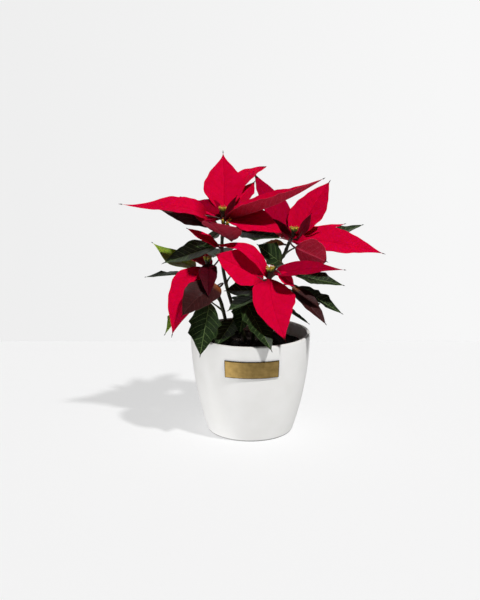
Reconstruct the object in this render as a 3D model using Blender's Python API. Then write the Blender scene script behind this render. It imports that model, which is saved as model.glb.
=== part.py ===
"""Poinsettia in its glazed pot, in metres, +Z up.

The origin is the centre of the pot's flat foot, and -Y is the side that shows the plate.
Four leafy stems stand in plain holes in the peat. Each one carries a bloom: a short leaning
hub with its coloured bracts, and a cluster of small cup flowers just above the hub.
"""
import math
import random
from dataclasses import dataclass

import bmesh
import bpy
import numpy as np

# Millimetres in this file's metres
MM = 0.001
# Clearance between pieces that touch
GAP = 0.3

# Pot, in millimetres
POT_HEIGHT = 122.4
RIM_RADIUS = 72.5
FOOT_RADIUS = 52.3
POT_WALL = 3.8
POT_FLOOR = 6.0
FOOT_CHAMFER = 1.2
POT_SIDES = 48
LIP_STEPS = 4

# Blank plate on the front of the pot, in millimetres
PLATE_WIDTH = 64.0
PLATE_HEIGHT = 20.5
PLATE_THICKNESS = 1.0
PLATE_MIDDLE_Z = 94.6
PLATE_MIDDLE_X = 1.0
PLATE_COLUMNS = 8
PLATE_ROWS = 3

# Peat and the holes that the stems stand in, in millimetres
PEAT_TOP = 105.0
PEAT_MOUND = 1.5
MOUND_SHARE = 0.6
STEM_FOOT_Z = 76.0

# Stems, stalks and hubs, in millimetres, and the shape of a stalk's curve as shares of its length
STEM_FOOT_RADIUS = 2.4
STEM_TOP_RADIUS = 1.9
STEM_SIDES = 8
STALK_RADIUS = 1.1
STALK_SIDES = 4
STALK_STEPS = 5
STALK_SUNK = 2.0
STALK_LIFT = 0.8
STALK_REACH = 0.35
HUB_HEIGHT = 16.0
HUB_RADII = (2.2, 2.8, 3.6)
BRACT_DEPTH = 8.0
BRACT_REACH = 2.0
LEAF_SHARE_OF_REACH = 0.3

# Blades, in millimetres
BLADE_THICKNESS = 0.8
WIDE_BLADE = 35.0
LONG_BLADE = 60.0
CLOSEST_ROWS = 0.035
TOOTH_RISE = 0.14
TOOTH_FALL = 0.06
TOOTH_SIZE = 0.22
STALK_SHARE = 0.3
TIP_HALF_WIDTH = 0.4

# Cup flowers, in millimetres
CUP_HEIGHT = 5.0
CUP_RADIUS = 1.75
CUP_SIDES = 6
CUSHION_RADII = (3.2, 3.8, 2.4)
CUSHION_HEIGHTS = (0.0, 1.4, 2.4)
RING_RADIUS = 2.9
RING_WANDER = 0.2
CUP_LEAN = 0.35
CUP_SHAPE = ((0, 0.55), (0.35, 1), (0.75, 0.95), (1, 0.5))
CUP_LOW = 0.6
SEED = 12

# Angle between faces, in degrees, from which an edge is shaded sharp
SHARP_ANGLE = 35
# Merge distance for points that are one point, in metres
SAME_POINT = 1e-6


@dataclass(frozen=True)
class Blade:
    """One bract or leaf: its direction, size and bend, in degrees and millimetres."""

    name: str
    heading: float
    rise: float
    length: float
    width: float
    roll: float = 0.0
    arch: float = 0.0
    hook: float = 0.0
    sway: float = 0.0
    fold: float = 8.0
    cup: float = 8.0
    widest: float = 0.42
    fullness: float = 2.2
    foot: tuple = None
    teeth: tuple = ()


@dataclass(frozen=True)
class Shoot:
    """One stem with its leaves and the bloom at its top, in millimetres."""

    name: str
    hub: tuple
    lean: tuple
    route: tuple
    cups: int
    bracts: tuple
    leaves: tuple


def leaf(name, foot, heading, rise, length, width, **more):
    """Describe a green leaf, which has a waisted edge with two teeth unless told otherwise."""
    shape = {"teeth": (0.4, 0.62), "widest": 0.4, "fullness": 1.9}
    shape.update(more)
    return Blade(name, heading, rise, length, width, foot=foot, **shape)


# Plant, in degrees and millimetres
UPPER = Shoot(
    name="upper",
    hub=(-33, -5, 268),
    lean=(-1, -1),
    route=((-6, 5, 108), (-12, 4, 128), (-25, 1, 164), (-33, 0, 200), (-34, -3, 232)),
    cups=8,
    bracts=(
        Blade("back_tall", 91, 50, 97, 50, fullness=3.6, widest=0.47, arch=-2, sway=1),
        Blade("long_left", 190, 9, 100, 48, foot=(-52, -8, 264), roll=-20, fold=6, widest=0.18,
              fullness=1.9, arch=5, hook=3),
        Blade("small_left", 150, 20, 48, 34, roll=-45),
        Blade("sliver", 350, 62, 30, 9, foot=(-30, -12, 262), roll=60),
        Blade("long_right", 349, 23, 125, 40, roll=5, fold=38, arch=-6, widest=0.34, fullness=1.8),
        Blade("low_right", 343, -11.5, 72, 44, roll=28, sway=-6, widest=0.4),
        Blade("front_low", 243, 28, 60, 48, foot=(-23, -10, 235), roll=-4, widest=0.5, fullness=1.8),
        Blade("curled_back", 56, 36, 101, 28, foot=(-26, 14, 256), arch=15, sway=-5, widest=0.66),
        Blade("rear_left", 138, 17, 72, 34),
        Blade("rear_middle", 110, 13, 70, 34),
        Blade("rear_right", 58, 29, 80, 37),
    ),
    leaves=(
        leaf("maroon_left", (-38, -2, 251), 168, 14, 74, 27, roll=-36, teeth=(), fullness=2.0),
        leaf("behind_left", (-36, 12, 243), 205, -35, 30, 26, teeth=()),
        leaf("under_right", (-24, 4, 246), 333, -5, 66, 36, roll=20),
        leaf("broad_left", (-39, -3, 229), 191, -17, 68, 42, roll=-18, teeth=()),
        leaf("low_left", (-20, -20, 142), 238, -32, 44, 32),
        leaf("low_front", (-6, -25, 167), 252, -57, 42, 24),
        leaf("rear_high", (-38, 22, 220), 98, -18, 72, 44),
        leaf("rear_low", (-16, 20, 190), 62, -38, 70, 42, teeth=()),
    ),
)

RIGHT = Shoot(
    name="right",
    hub=(52, 10, 242),
    lean=(7, -1),
    route=((4, 25, 108), (13, 21, 157), (31, 15, 200), (40, 11, 214)),
    cups=7,
    bracts=(
        Blade("back_right", 37, 48, 88, 46, roll=20, widest=0.42),
        Blade("back_left", 131, 49, 99, 52, roll=10),
        Blade("back_middle", 74, 40, 60, 34),
        Blade("sliver", 30, 58, 32, 11, foot=(58, 5, 237), roll=60),
        Blade("narrow_left", 190, 44, 36, 14, foot=(49, 2, 236), roll=-60),
        Blade("long_right", 352, -8, 109, 46, roll=32, arch=5, widest=0.38),
        Blade("side_right", 31, 9, 80, 34),
        Blade("front_low", 346, -22, 40, 38, foot=(52, -17, 228), roll=-76, widest=0.5, fullness=1.6),
        Blade("small_front", 330, -6, 26, 14, roll=50),
        Blade("rear_left", 110, -2, 76, 38),
        Blade("rear_right", 80, -14, 74, 32),
    ),
    leaves=(
        leaf("right_high", (50, -5, 194), 351, -11, 62, 26, roll=20),
        leaf("right_middle", (58, 10, 175), 356, -31, 63, 30, roll=15),
        leaf("right_low", (42, 10, 149), 0, -34, 36, 22),
        leaf("right_far", (86, 40, 228), 18, 16, 60, 30, roll=8),
        leaf("left_pale", (42, 24, 225), 188, 5, 26, 18, roll=-12),
        leaf("left_upright", (37, -3, 207), 195, 38, 38, 30, roll=-55, teeth=(0.5,)),
        leaf("rear_high", (46, 44, 196), 76, -22, 74, 44),
        leaf("rear_low", (52, 34, 165), 42, -36, 60, 38),
    ),
)

FRONT = Shoot(
    name="front",
    hub=(22, -35, 202),
    lean=(2, -5),
    route=((3, 10, 108), (6, 8, 134), (14, -10, 162), (20, -29, 177)),
    cups=6,
    bracts=(
        Blade("front_drop", 295, -58, 75, 54, sway=6, widest=0.36, fullness=2.0, arch=3),
        Blade("broad_left", 182, 29, 62, 46, foot=(14, -41, 194), roll=-50, fullness=1.8),
        Blade("arched_left", 170, 32, 70, 24, roll=-25, arch=18),
        Blade("long_right", 351, 5, 81, 31, foot=(27, -35, 200), roll=24, widest=0.3, arch=4),
        Blade("small_right", 337, -38, 26, 15, foot=(31, -42, 204), roll=40),
        Blade("sliver", 125, 30, 28, 8),
    ),
    leaves=(
        leaf("low_right", (-7, -40, 170), 307, -45, 70, 36),
        leaf("maroon_right", (50, -12, 180), 318, -37, 62, 30, teeth=()),
        leaf("rear_high", (-1, 26, 160), 92, -28, 60, 38),
        leaf("low_left", (10, -40, 176), 210, -18, 44, 32),
        leaf("small_left", (6, -38, 181), 188, 1, 36, 30, roll=-25),
    ),
)

LEFT = Shoot(
    name="left",
    hub=(-51, -17, 211),
    lean=(-4, -3),
    route=((-25, 5, 108), (-29, 3, 129), (-36, -3, 160), (-45, -13, 184)),
    cups=6,
    bracts=(
        Blade("front_drop", 223, -52, 90, 46, arch=12, widest=0.36, roll=-32, sway=4),
        Blade("short_front", 272, -31, 56, 22, arch=7, foot=(-50, -20, 209)),
        Blade("narrow_left", 186, 31, 44, 18, foot=(-37, -14, 228), roll=-30),
        Blade("rear_small", 115, 14, 52, 26),
    ),
    leaves=(
        leaf("maroon_front", (-36, -46, 187), 207, -31, 55, 42, roll=-30, arch=9, widest=0.42, teeth=()),
        leaf("pale_left", (-66, 10, 199), 146, 20, 72, 30, arch=-5, roll=-25, teeth=(),
             fullness=2.6, widest=0.36),
        leaf("far_left", (-84, 10, 192), 162, -9, 48, 20, roll=-6),
        leaf("hanging_left", (-76, 5, 160), 199, -54, 50, 30),
        leaf("low_front", (-48, -45, 168), 246, -66, 62, 36),
        leaf("rear_high", (-55, 18, 178), 122, -28, 62, 40),
    ),
)

SHOOTS = (UPPER, RIGHT, FRONT, LEFT)

# Finishes: colour, roughness and metallic value
FINISHES = {
    "cream_glaze": ((0.80, 0.77, 0.72), 0.25, 0.0),
    "aged_brass": ((0.48, 0.36, 0.16), 0.35, 1.0),
    "peat": ((0.02, 0.015, 0.01), 0.95, 0.0),
    "green_leaf": ((0.015, 0.035, 0.01), 0.45, 0.0),
    "crimson_bract": ((0.60, 0.0, 0.03), 0.60, 0.0),
    "yellow_cup": ((0.45, 0.40, 0.05), 0.50, 0.0),
}


def clear_scene():
    """Remove every object of the scene that the script starts in."""
    for old in list(bpy.data.objects):
        bpy.data.objects.remove(old, do_unlink=True)


def finish(name):
    """Return the material of one finish."""
    colour, roughness, metallic = FINISHES[name]
    material = bpy.data.materials.new(name)
    material.use_nodes = True
    shader = material.node_tree.nodes["Principled BSDF"]
    shader.inputs["Base Color"].default_value = (*colour, 1.0)
    shader.inputs["Roughness"].default_value = roughness
    shader.inputs["Metallic"].default_value = metallic
    return material


def add_object(name, mesh, finish_name=None):
    """Link an object with its mesh and, where it has one, its material."""
    thing = bpy.data.objects.new(name, mesh)
    bpy.context.scene.collection.objects.link(thing)
    if finish_name:
        mesh.materials.append(finish(finish_name))
    return thing


def solid(name, points, faces):
    """Return a mesh from points in millimetres, with its faces pointing out."""
    mesh = bpy.data.meshes.new(name)
    mesh.from_pydata([tuple(float(v) * MM for v in point) for point in points], [], faces)
    shape = bmesh.new()
    shape.from_mesh(mesh)
    bmesh.ops.recalc_face_normals(shape, faces=shape.faces)
    shape.to_mesh(mesh)
    shape.free()
    return mesh


def turned(name, profile, sides):
    """Spin a profile of radius and height, in millimetres, about Z. Its ends lie on the axis."""
    shape = bmesh.new()
    ring = [shape.verts.new((radius * MM, 0.0, height * MM)) for radius, height in profile]
    edges = [shape.edges.new(pair) for pair in zip(ring, ring[1:])]
    bmesh.ops.spin(shape, geom=ring + edges, axis=(0, 0, 1), cent=(0, 0, 0), dvec=(0, 0, 0),
                   angle=2 * math.pi, steps=sides, use_merge=True)
    bmesh.ops.remove_doubles(shape, verts=shape.verts, dist=SAME_POINT)
    bmesh.ops.recalc_face_normals(shape, faces=shape.faces)
    mesh = bpy.data.meshes.new(name)
    shape.to_mesh(mesh)
    shape.free()
    mesh.shade_smooth()
    mesh.set_sharp_from_angle(angle=math.radians(SHARP_ANGLE))
    return mesh


def pot_radius(height):
    """Return the pot's outer radius at a height: it flares quickly at the foot, then slowly."""
    return RIM_RADIUS - (RIM_RADIUS - FOOT_RADIUS) * (1 - height / POT_HEIGHT) ** 2


def build_pot():
    """Turn the pot from one profile: foot, flared outside, round lip, inside and floor."""
    lip = POT_WALL / 2
    shoulder = POT_HEIGHT - lip
    outer = [(pot_radius(z), z) for z in np.linspace(FOOT_CHAMFER, shoulder, 9)]
    middle = pot_radius(shoulder) - lip
    turns = np.linspace(0, math.pi, LIP_STEPS + 1)[1:-1]
    rounded = [(middle + lip * math.cos(turn), shoulder + lip * math.sin(turn)) for turn in turns]
    inner = [(pot_radius(z) - POT_WALL, z) for z in np.linspace(shoulder, POT_FLOOR, 8)]
    profile = [(0, 0), (FOOT_RADIUS - FOOT_CHAMFER, 0)] + outer + rounded + inner + [(0, POT_FLOOR)]
    return add_object("pot", turned("pot", profile, POT_SIDES), "cream_glaze")


def build_plate():
    """Bend a blank plate around the front of the pot, just off its wall."""
    middle_radius = pot_radius(PLATE_MIDDLE_Z)
    turn = PLATE_WIDTH / middle_radius
    start = -math.pi / 2 + PLATE_MIDDLE_X / middle_radius - turn / 2
    points = []
    for depth in (GAP + 0.1, GAP + 0.1 + PLATE_THICKNESS):
        for row in range(PLATE_ROWS + 1):
            z = PLATE_MIDDLE_Z + PLATE_HEIGHT * (row / PLATE_ROWS - 0.5)
            radius = pot_radius(z) + depth
            for column in range(PLATE_COLUMNS + 1):
                angle = start + turn * column / PLATE_COLUMNS
                points.append((radius * math.cos(angle), radius * math.sin(angle), z))
    return add_object("plate", solid("plate", points, slab_faces(PLATE_ROWS + 1, PLATE_COLUMNS + 1)),
                      "aged_brass")


def slab_faces(rows, columns):
    """Return the triangles of a closed slab made of two grids, split alike on both sides."""
    layer = rows * columns
    faces = []
    for row in range(rows - 1):
        for column in range(columns - 1):
            a = row * columns + column
            b, c, d = a + 1, a + columns + 1, a + columns
            faces += [(a, b, c), (a, c, d)]
            faces += [(a + layer, c + layer, b + layer), (a + layer, d + layer, c + layer)]
    loop = [row * columns for row in range(rows)]
    loop += [(rows - 1) * columns + column for column in range(1, columns)]
    loop += [row * columns + columns - 1 for row in range(rows - 2, -1, -1)]
    loop += list(range(columns - 2, 0, -1))
    for a, b in zip(loop, loop[1:] + loop[:1]):
        faces += [(a, b, b + layer), (a, b + layer, a + layer)]
    return faces


def build_peat():
    """Fill the pot with peat, a little mounded, and cut a plain hole for each stem."""
    wall = POT_WALL + GAP
    side = [(pot_radius(z) - wall, z) for z in np.linspace(POT_FLOOR + GAP, PEAT_TOP, 6)]
    top = PEAT_TOP + PEAT_MOUND
    profile = [(0, POT_FLOOR + GAP)] + side + [(side[-1][0] * MOUND_SHARE, top), (0, top)]
    peat = add_object("soil", turned("soil", profile, POT_SIDES), "peat")
    bottom = STEM_FOOT_Z - GAP
    cut_height = top + PEAT_MOUND - bottom
    hole_radius = STEM_FOOT_RADIUS + 1.5 * GAP
    holes = bpy.data.collections.new("holes")
    bpy.context.scene.collection.children.link(holes)
    for shoot in SHOOTS:
        x, y, _ = shoot.route[0]
        shape = bmesh.new()
        bmesh.ops.create_cone(shape, cap_ends=True, segments=2 * STEM_SIDES, radius1=hole_radius * MM,
                              radius2=hole_radius * MM, depth=cut_height * MM)
        mesh = bpy.data.meshes.new("hole_" + shoot.name)
        shape.to_mesh(mesh)
        shape.free()
        cutter = bpy.data.objects.new("hole_" + shoot.name, mesh)
        cutter.location = (x * MM, y * MM, (bottom + cut_height / 2) * MM)
        holes.objects.link(cutter)
    bpy.context.view_layer.update()
    join(peat, holes, "DIFFERENCE")
    return peat


def join(thing, pieces, operation, solver="EXACT"):
    """Apply one Boolean with all pieces of a collection, then remove the collection."""
    tool = thing.modifiers.new("join", "BOOLEAN")
    tool.operation = operation
    tool.operand_type = "COLLECTION"
    tool.collection = pieces
    tool.solver = solver
    seen = thing.evaluated_get(bpy.context.evaluated_depsgraph_get())
    joined = bpy.data.meshes.new_from_object(seen)
    thing.modifiers.clear()
    thing.data = joined
    for piece in list(pieces.objects):
        bpy.data.objects.remove(piece, do_unlink=True)
    bpy.data.collections.remove(pieces)


def half_width(blade, t):
    """Return the blade's half width at shares t of its length, teeth and foot included."""
    low = blade.fullness * blade.widest
    high = blade.fullness * (1 - blade.widest)
    outline = (t / blade.widest) ** low * ((1 - t) / (1 - blade.widest)) ** high
    tooth = np.zeros_like(t)
    for at in blade.teeth:
        rising = np.clip(1 - (at - t) / TOOTH_RISE, 0, 1) * (t <= at)
        falling = np.clip(1 - (t - at) / TOOTH_FALL, 0, 1) * (t > at)
        tooth += TOOTH_SIZE * (rising ** 1.5 + falling)
    stalk = STALK_RADIUS * np.clip(1 - t / STALK_SHARE, 0, 1)
    return np.maximum(blade.width / 2 * outline * (1 + tooth), np.maximum(stalk, TIP_HALF_WIDTH))


def unit(vector):
    """Return a vector of length one."""
    return vector / np.linalg.norm(vector)


def blade_axes(blade):
    """Return the directions along a blade, to its right-hand side and out of its upper face."""
    heading, rise, roll = (math.radians(v) for v in (blade.heading, blade.rise, blade.roll))
    along = np.array((math.cos(heading) * math.cos(rise), math.sin(heading) * math.cos(rise), math.sin(rise)))
    side = unit(np.cross(along, (0, 0, 1)))
    face = np.cross(side, along)
    return (along, side * math.cos(roll) - face * math.sin(roll),
            face * math.cos(roll) + side * math.sin(roll))


def midrib(blade, foot, t):
    """Return the points of the blade's bent midrib at shares t of its length."""
    along, side, face = blade_axes(blade)
    t = t[:, None]
    bend = blade.arch * np.sin(math.pi * t) + blade.hook * np.sin(2 * math.pi * t)
    return foot + along * blade.length * t + face * bend + side * blade.sway * np.sin(math.pi * t)


def blade_surface(blade, foot, t, s):
    """Return the middle surface at shares t along the blade and s across it, from -1 to 1."""
    side = blade_axes(blade)[1]
    step = 1e-3
    centre = midrib(blade, foot, t)
    tangent = midrib(blade, foot, t + step) - midrib(blade, foot, t - step)
    tangent /= np.linalg.norm(tangent, axis=1)[:, None]
    across = side - tangent * (tangent @ side)[:, None]
    across /= np.linalg.norm(across, axis=1)[:, None]
    up = np.cross(across, tangent)
    fold, cup = math.radians(blade.fold), math.radians(blade.cup)
    bend = fold + cup * np.abs(s)
    outward = (np.sin(bend) - math.sin(fold)) / cup * np.sign(s)
    lift = (math.cos(fold) - np.cos(bend)) / cup
    width = half_width(blade, t)[:, None]
    return (centre[:, None] + across[:, None] * (width * outward)[..., None]
            + up[:, None] * (width * lift)[..., None])


def blade_rows(blade):
    """Return the shares of the length that the blade's outline needs, its teeth included."""
    shares = list(np.linspace(0, 1, 8 if blade.length > LONG_BLADE else 6))
    for at in blade.teeth:
        shares += [at, at + TOOTH_FALL]
    rows = []
    for share in sorted(shares):
        if not rows or share - rows[-1] > CLOSEST_ROWS:
            rows.append(share)
    return np.array(rows)


def blade_mesh(blade, foot):
    """Return a closed blade: the same waved surface on both faces, and a thin edge."""
    columns = 5 if blade.width > WIDE_BLADE else 3
    middle = blade_surface(blade, foot, blade_rows(blade), np.linspace(-1, 1, columns))
    along = np.gradient(middle, axis=0)
    across = np.gradient(middle, axis=1)
    normal = np.cross(across, along)
    normal /= np.linalg.norm(normal, axis=2)[..., None]
    half = normal * BLADE_THICKNESS / 2
    points = np.concatenate([(middle + half).reshape(-1, 3), (middle - half).reshape(-1, 3)])
    return solid(blade.name, points, slab_faces(*middle.shape[:2]))


def tube_mesh(name, route, radii, sides, level_ends):
    """Return a closed tube along a route, with level ends where the tube meets another piece."""
    route = np.array(route, float)
    points = []
    for at, centre in enumerate(route):
        direction = route[min(at + 1, len(route) - 1)] - route[max(at - 1, 0)]
        if level_ends and at in (0, len(route) - 1):
            direction = np.array((0.0, 0.0, 1.0))
        direction = unit(direction)
        first = unit(np.cross(direction, (0.1, 1.0, 0.1)))
        second = np.cross(direction, first)
        for turn in np.arange(sides) * 2 * math.pi / sides:
            points.append(centre + radii[at] * (math.cos(turn) * first + math.sin(turn) * second))
    faces = []
    for at in range(len(route) - 1):
        for side in range(sides):
            a = at * sides + side
            b = at * sides + (side + 1) % sides
            faces += [(a, b, b + sides), (a, b + sides, a + sides)]
    last = (len(route) - 1) * sides
    faces.append(tuple(range(sides)))
    faces.append(tuple(last + side for side in range(sides)))
    return solid(name, points, faces)


def on_hub(shoot, depth):
    """Return the point of the hub's leaning axis at a depth under its top."""
    x, y, z = shoot.hub
    share = depth / HUB_HEIGHT
    return np.array((x - shoot.lean[0] * share, y - shoot.lean[1] * share, z - depth), float)


def stem_route(shoot):
    """Return the stem's route, from the bottom of its hole to just under the hub."""
    bottom = (*shoot.route[0][:2], STEM_FOOT_Z)
    return [np.array(point, float) for point in (bottom, *shoot.route)] + [on_hub(shoot, HUB_HEIGHT + GAP)]


def stem_point(shoot, height):
    """Return the stem's middle at a height."""
    route = stem_route(shoot)
    for low, high in zip(route, route[1:]):
        if height <= high[2]:
            return low + (high - low) * (height - low[2]) / (high[2] - low[2])
    return route[-1]


def bract_foot(shoot, bract):
    """Return where a bract starts: on the hub, or at the end of a stalk of its own."""
    if bract.foot is not None:
        return np.array(bract.foot, float)
    heading = math.radians(bract.heading)
    reach = (BRACT_REACH * math.cos(heading), BRACT_REACH * math.sin(heading), 0)
    return on_hub(shoot, BRACT_DEPTH) + reach


def leaf_root(shoot, blade):
    """Return where a leaf's stalk leaves the stem: under the leaf, lower for a longer stalk."""
    foot = np.array(blade.foot, float)
    reach = math.dist(stem_point(shoot, foot[2])[:2], foot[:2])
    height = min(foot[2] - LEAF_SHARE_OF_REACH * reach, shoot.hub[2] - HUB_HEIGHT - STALK_SUNK)
    return stem_point(shoot, height)


def stalk_route(root, foot, along):
    """Return a stalk that leaves its root outwards and upwards and runs into its blade."""
    away = foot - root
    gap = np.linalg.norm(away)
    away[2] = 0
    lift = unit(unit(away) + (0, 0, STALK_LIFT)) * gap * STALK_REACH
    t = np.linspace(0, 1, STALK_STEPS)[:, None]
    curve = (root * (1 - t) ** 3 + 3 * (root + lift) * t * (1 - t) ** 2
             + 3 * (foot - along * gap * STALK_REACH) * t * t * (1 - t) + foot * t ** 3)
    return list(curve) + [foot + along * STALK_SUNK]


def gather(name, meshes):
    """Put meshes into a collection as objects, ready to be joined."""
    pieces = bpy.data.collections.new(name)
    bpy.context.scene.collection.children.link(pieces)
    for at, mesh in enumerate(meshes):
        pieces.objects.link(bpy.data.objects.new(f"{name}_{at}", mesh))
    return pieces


def keep_main_body(thing):
    """Keep the outer body of a joined mesh: sealed hollows are filled and loose scraps dropped."""
    shape = bmesh.new()
    shape.from_mesh(thing.data)
    bmesh.ops.remove_doubles(shape, verts=shape.verts, dist=SAME_POINT)
    bmesh.ops.triangulate(shape, faces=shape.faces)
    left = set(shape.faces)
    bodies = []
    while left:
        body = set()
        edge = [left.pop()]
        while edge:
            face = edge.pop()
            body.add(face)
            near = {other for side in face.edges for other in side.link_faces} & left
            left -= near
            edge += near
        bodies.append(body)
    main = max(bodies, key=len)
    scraps = [face for body in bodies if body is not main for face in body]
    bmesh.ops.delete(shape, geom=scraps, context="FACES")
    shape.to_mesh(thing.data)
    shape.free()
    thing.data.shade_smooth()
    thing.data.set_sharp_from_angle(angle=math.radians(SHARP_ANGLE))


def stalk_mesh(blade, root, foot):
    """Return the stalk of one blade."""
    route = stalk_route(root, foot, blade_axes(blade)[0])
    return tube_mesh(blade.name + "_stalk", route, [STALK_RADIUS] * len(route), STALK_SIDES, False)


def build_leafy_stem(shoot):
    """Join a stem with its leaves and their stalks."""
    route = stem_route(shoot)
    radii = np.linspace(STEM_FOOT_RADIUS, STEM_TOP_RADIUS, len(route))
    name = "stem_" + shoot.name
    stem = add_object(name, tube_mesh(name, route, radii, STEM_SIDES, True), "green_leaf")
    meshes = []
    for blade in shoot.leaves:
        foot = np.array(blade.foot, float)
        meshes.append(blade_mesh(blade, foot))
        meshes.append(stalk_mesh(blade, leaf_root(shoot, blade), foot))
    join(stem, gather(name, meshes), "UNION", "MANIFOLD")
    keep_main_body(stem)
    return stem


def build_bracts(shoot):
    """Join a hub with the bracts around it."""
    route = [on_hub(shoot, depth) for depth in (HUB_HEIGHT, HUB_HEIGHT / 2, 0)]
    name = "bracts_" + shoot.name
    hub = add_object(name, tube_mesh(name, route, HUB_RADII, STEM_SIDES, True), "crimson_bract")
    meshes = []
    for bract in shoot.bracts:
        foot = bract_foot(shoot, bract)
        meshes.append(blade_mesh(bract, foot))
        if bract.foot is not None:
            meshes.append(stalk_mesh(bract, on_hub(shoot, BRACT_DEPTH + STALK_SUNK), foot))
    join(hub, gather(name, meshes), "UNION", "MANIFOLD")
    keep_main_body(hub)
    return hub


def build_flowers(shoot, chance):
    """Join a cushion with its cup flowers, which sit just above the hub."""
    base = np.array(shoot.hub, float) + (0, 0, GAP)
    route = [base + (0, 0, height) for height in CUSHION_HEIGHTS]
    name = "flowers_" + shoot.name
    cushion = add_object(name, tube_mesh(name, route, CUSHION_RADII, STEM_SIDES, True), "yellow_cup")
    meshes = []
    for at in range(shoot.cups):
        turn = 2 * math.pi * at / (shoot.cups - 1)
        reach = 0 if at == shoot.cups - 1 else RING_RADIUS + chance.uniform(-RING_WANDER, RING_WANDER)
        away = np.array((reach * math.cos(turn), reach * math.sin(turn), 0))
        low = base + away * (1 - CUP_LEAN / 2) + (0, 0, CUP_LOW)
        height = CUP_HEIGHT * chance.uniform(0.85, 1.1)
        cup = [low + away * CUP_LEAN * share + (0, 0, height * share) for share, _ in CUP_SHAPE]
        radii = [CUP_RADIUS * width for _, width in CUP_SHAPE]
        meshes.append(tube_mesh(f"cup_{at}", cup, radii, CUP_SIDES, True))
    join(cushion, gather(name, meshes), "UNION", "MANIFOLD")
    keep_main_body(cushion)
    return cushion


def main():
    """Build the pot, the plate, the peat and the four shoots."""
    clear_scene()
    chance = random.Random(SEED)
    build_pot()
    build_plate()
    build_peat()
    for shoot in SHOOTS:
        build_leafy_stem(shoot)
        build_bracts(shoot)
        build_flowers(shoot, chance)


main()
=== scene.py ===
"""Looks of a poinsettia growing in its glazed pot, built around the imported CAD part.

Everything is in metres in the CAD's frame. The plant's own sizes are in millimetres and degrees, the
same ones that the CAD solids are worked out from, so each finer piece keeps its solid's form.
"""

import logging
import math
import random
from dataclasses import dataclass, field
from enum import Enum, IntEnum
from itertools import combinations

import bpy
import numpy as np
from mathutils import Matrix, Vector


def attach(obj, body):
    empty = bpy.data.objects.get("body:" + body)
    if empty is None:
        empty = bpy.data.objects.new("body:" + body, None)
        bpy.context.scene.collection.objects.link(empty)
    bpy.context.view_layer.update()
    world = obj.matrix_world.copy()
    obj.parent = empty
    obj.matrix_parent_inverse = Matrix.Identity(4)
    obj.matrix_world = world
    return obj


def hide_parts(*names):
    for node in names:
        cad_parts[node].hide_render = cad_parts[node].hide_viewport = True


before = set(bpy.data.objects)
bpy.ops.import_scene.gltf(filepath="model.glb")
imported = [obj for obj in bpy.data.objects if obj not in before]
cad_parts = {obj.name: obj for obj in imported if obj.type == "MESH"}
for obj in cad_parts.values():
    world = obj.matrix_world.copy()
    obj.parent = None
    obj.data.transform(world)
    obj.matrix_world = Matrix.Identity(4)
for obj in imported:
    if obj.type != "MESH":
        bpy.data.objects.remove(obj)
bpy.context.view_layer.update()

log = logging.getLogger("poinsettia")

MM = 0.001
BODY = "root"

Socket = bpy.types.NodeSocket


# Small helpers

def linear(hex_colour: str) -> tuple[float, float, float, float]:
    """Turn an sRGB hex colour into linear light.

    Args:
        hex_colour: six hex digits, such as "D8062F".

    Returns:
        Red, green, blue and an alpha of one, in linear light.
    """
    parts = [int(hex_colour[at:at + 2], 16) / 255 for at in (0, 2, 4)]
    light = [v / 12.92 if v <= 0.04045 else ((v + 0.055) / 1.055) ** 2.4 for v in parts]
    return (*light, 1.0)


def feed(tree: bpy.types.NodeTree, node: bpy.types.Node, settings: dict) -> None:
    """Give a node its settings and links.

    Args:
        tree: the tree that holds the node.
        node: the node.
        settings: by property name, or by input name or number: a value, the six hex digits of a colour,
            or the socket that feeds the input.
    """
    for name, value in settings.items():
        if isinstance(name, str) and hasattr(node, name):
            setattr(node, name, value)
        elif isinstance(value, Socket):
            tree.links.new(value, node.inputs[name])
        else:
            node.inputs[name].default_value = linear(value) if isinstance(value, str) else value


def add_node(tree: bpy.types.NodeTree, kind: str, settings: dict) -> bpy.types.Node:
    """Add a node to a tree with its settings and links.

    Args:
        tree: the node tree to add to.
        kind: the node's type, such as "Math".
        settings: what feed takes.

    Returns:
        The new node.
    """
    node = tree.nodes.new("ShaderNode" + kind)
    feed(tree, node, settings)
    return node


def unit(vector: np.ndarray) -> np.ndarray:
    """Return a vector of length one."""
    return vector / np.linalg.norm(vector)


def unit_rows(rows: np.ndarray) -> np.ndarray:
    """Return an array of vectors, each of length one."""
    return rows / np.linalg.norm(rows, axis=-1)[..., None]


def level(turn: float, reach: float = 1.0) -> np.ndarray:
    """Return a level vector of a length, turned by radians from X towards Y."""
    return np.array((reach * math.cos(turn), reach * math.sin(turn), 0.0))


def smooth_route(points: list, steps: int) -> np.ndarray:
    """Run a smooth curve, a Catmull-Rom spline, through points.

    Args:
        points: the points that the curve passes, at least two.
        steps: how many stretches each gap between points is cut into.

    Returns:
        The curve's points, one per row.
    """
    known = [np.array(point, float) for point in points]
    known = [2 * known[0] - known[1], *known, 2 * known[-1] - known[-2]]
    curve = []
    for before, start, end, after in zip(known, known[1:], known[2:], known[3:]):
        for share in np.linspace(0, 1, steps, endpoint=False):
            curve.append(0.5 * (2 * start + (end - before) * share
                                + (2 * before - 5 * start + 4 * end - after) * share ** 2
                                + (3 * start - before - 3 * end + after) * share ** 3))
    curve.append(known[-2])
    return np.array(curve)


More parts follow.
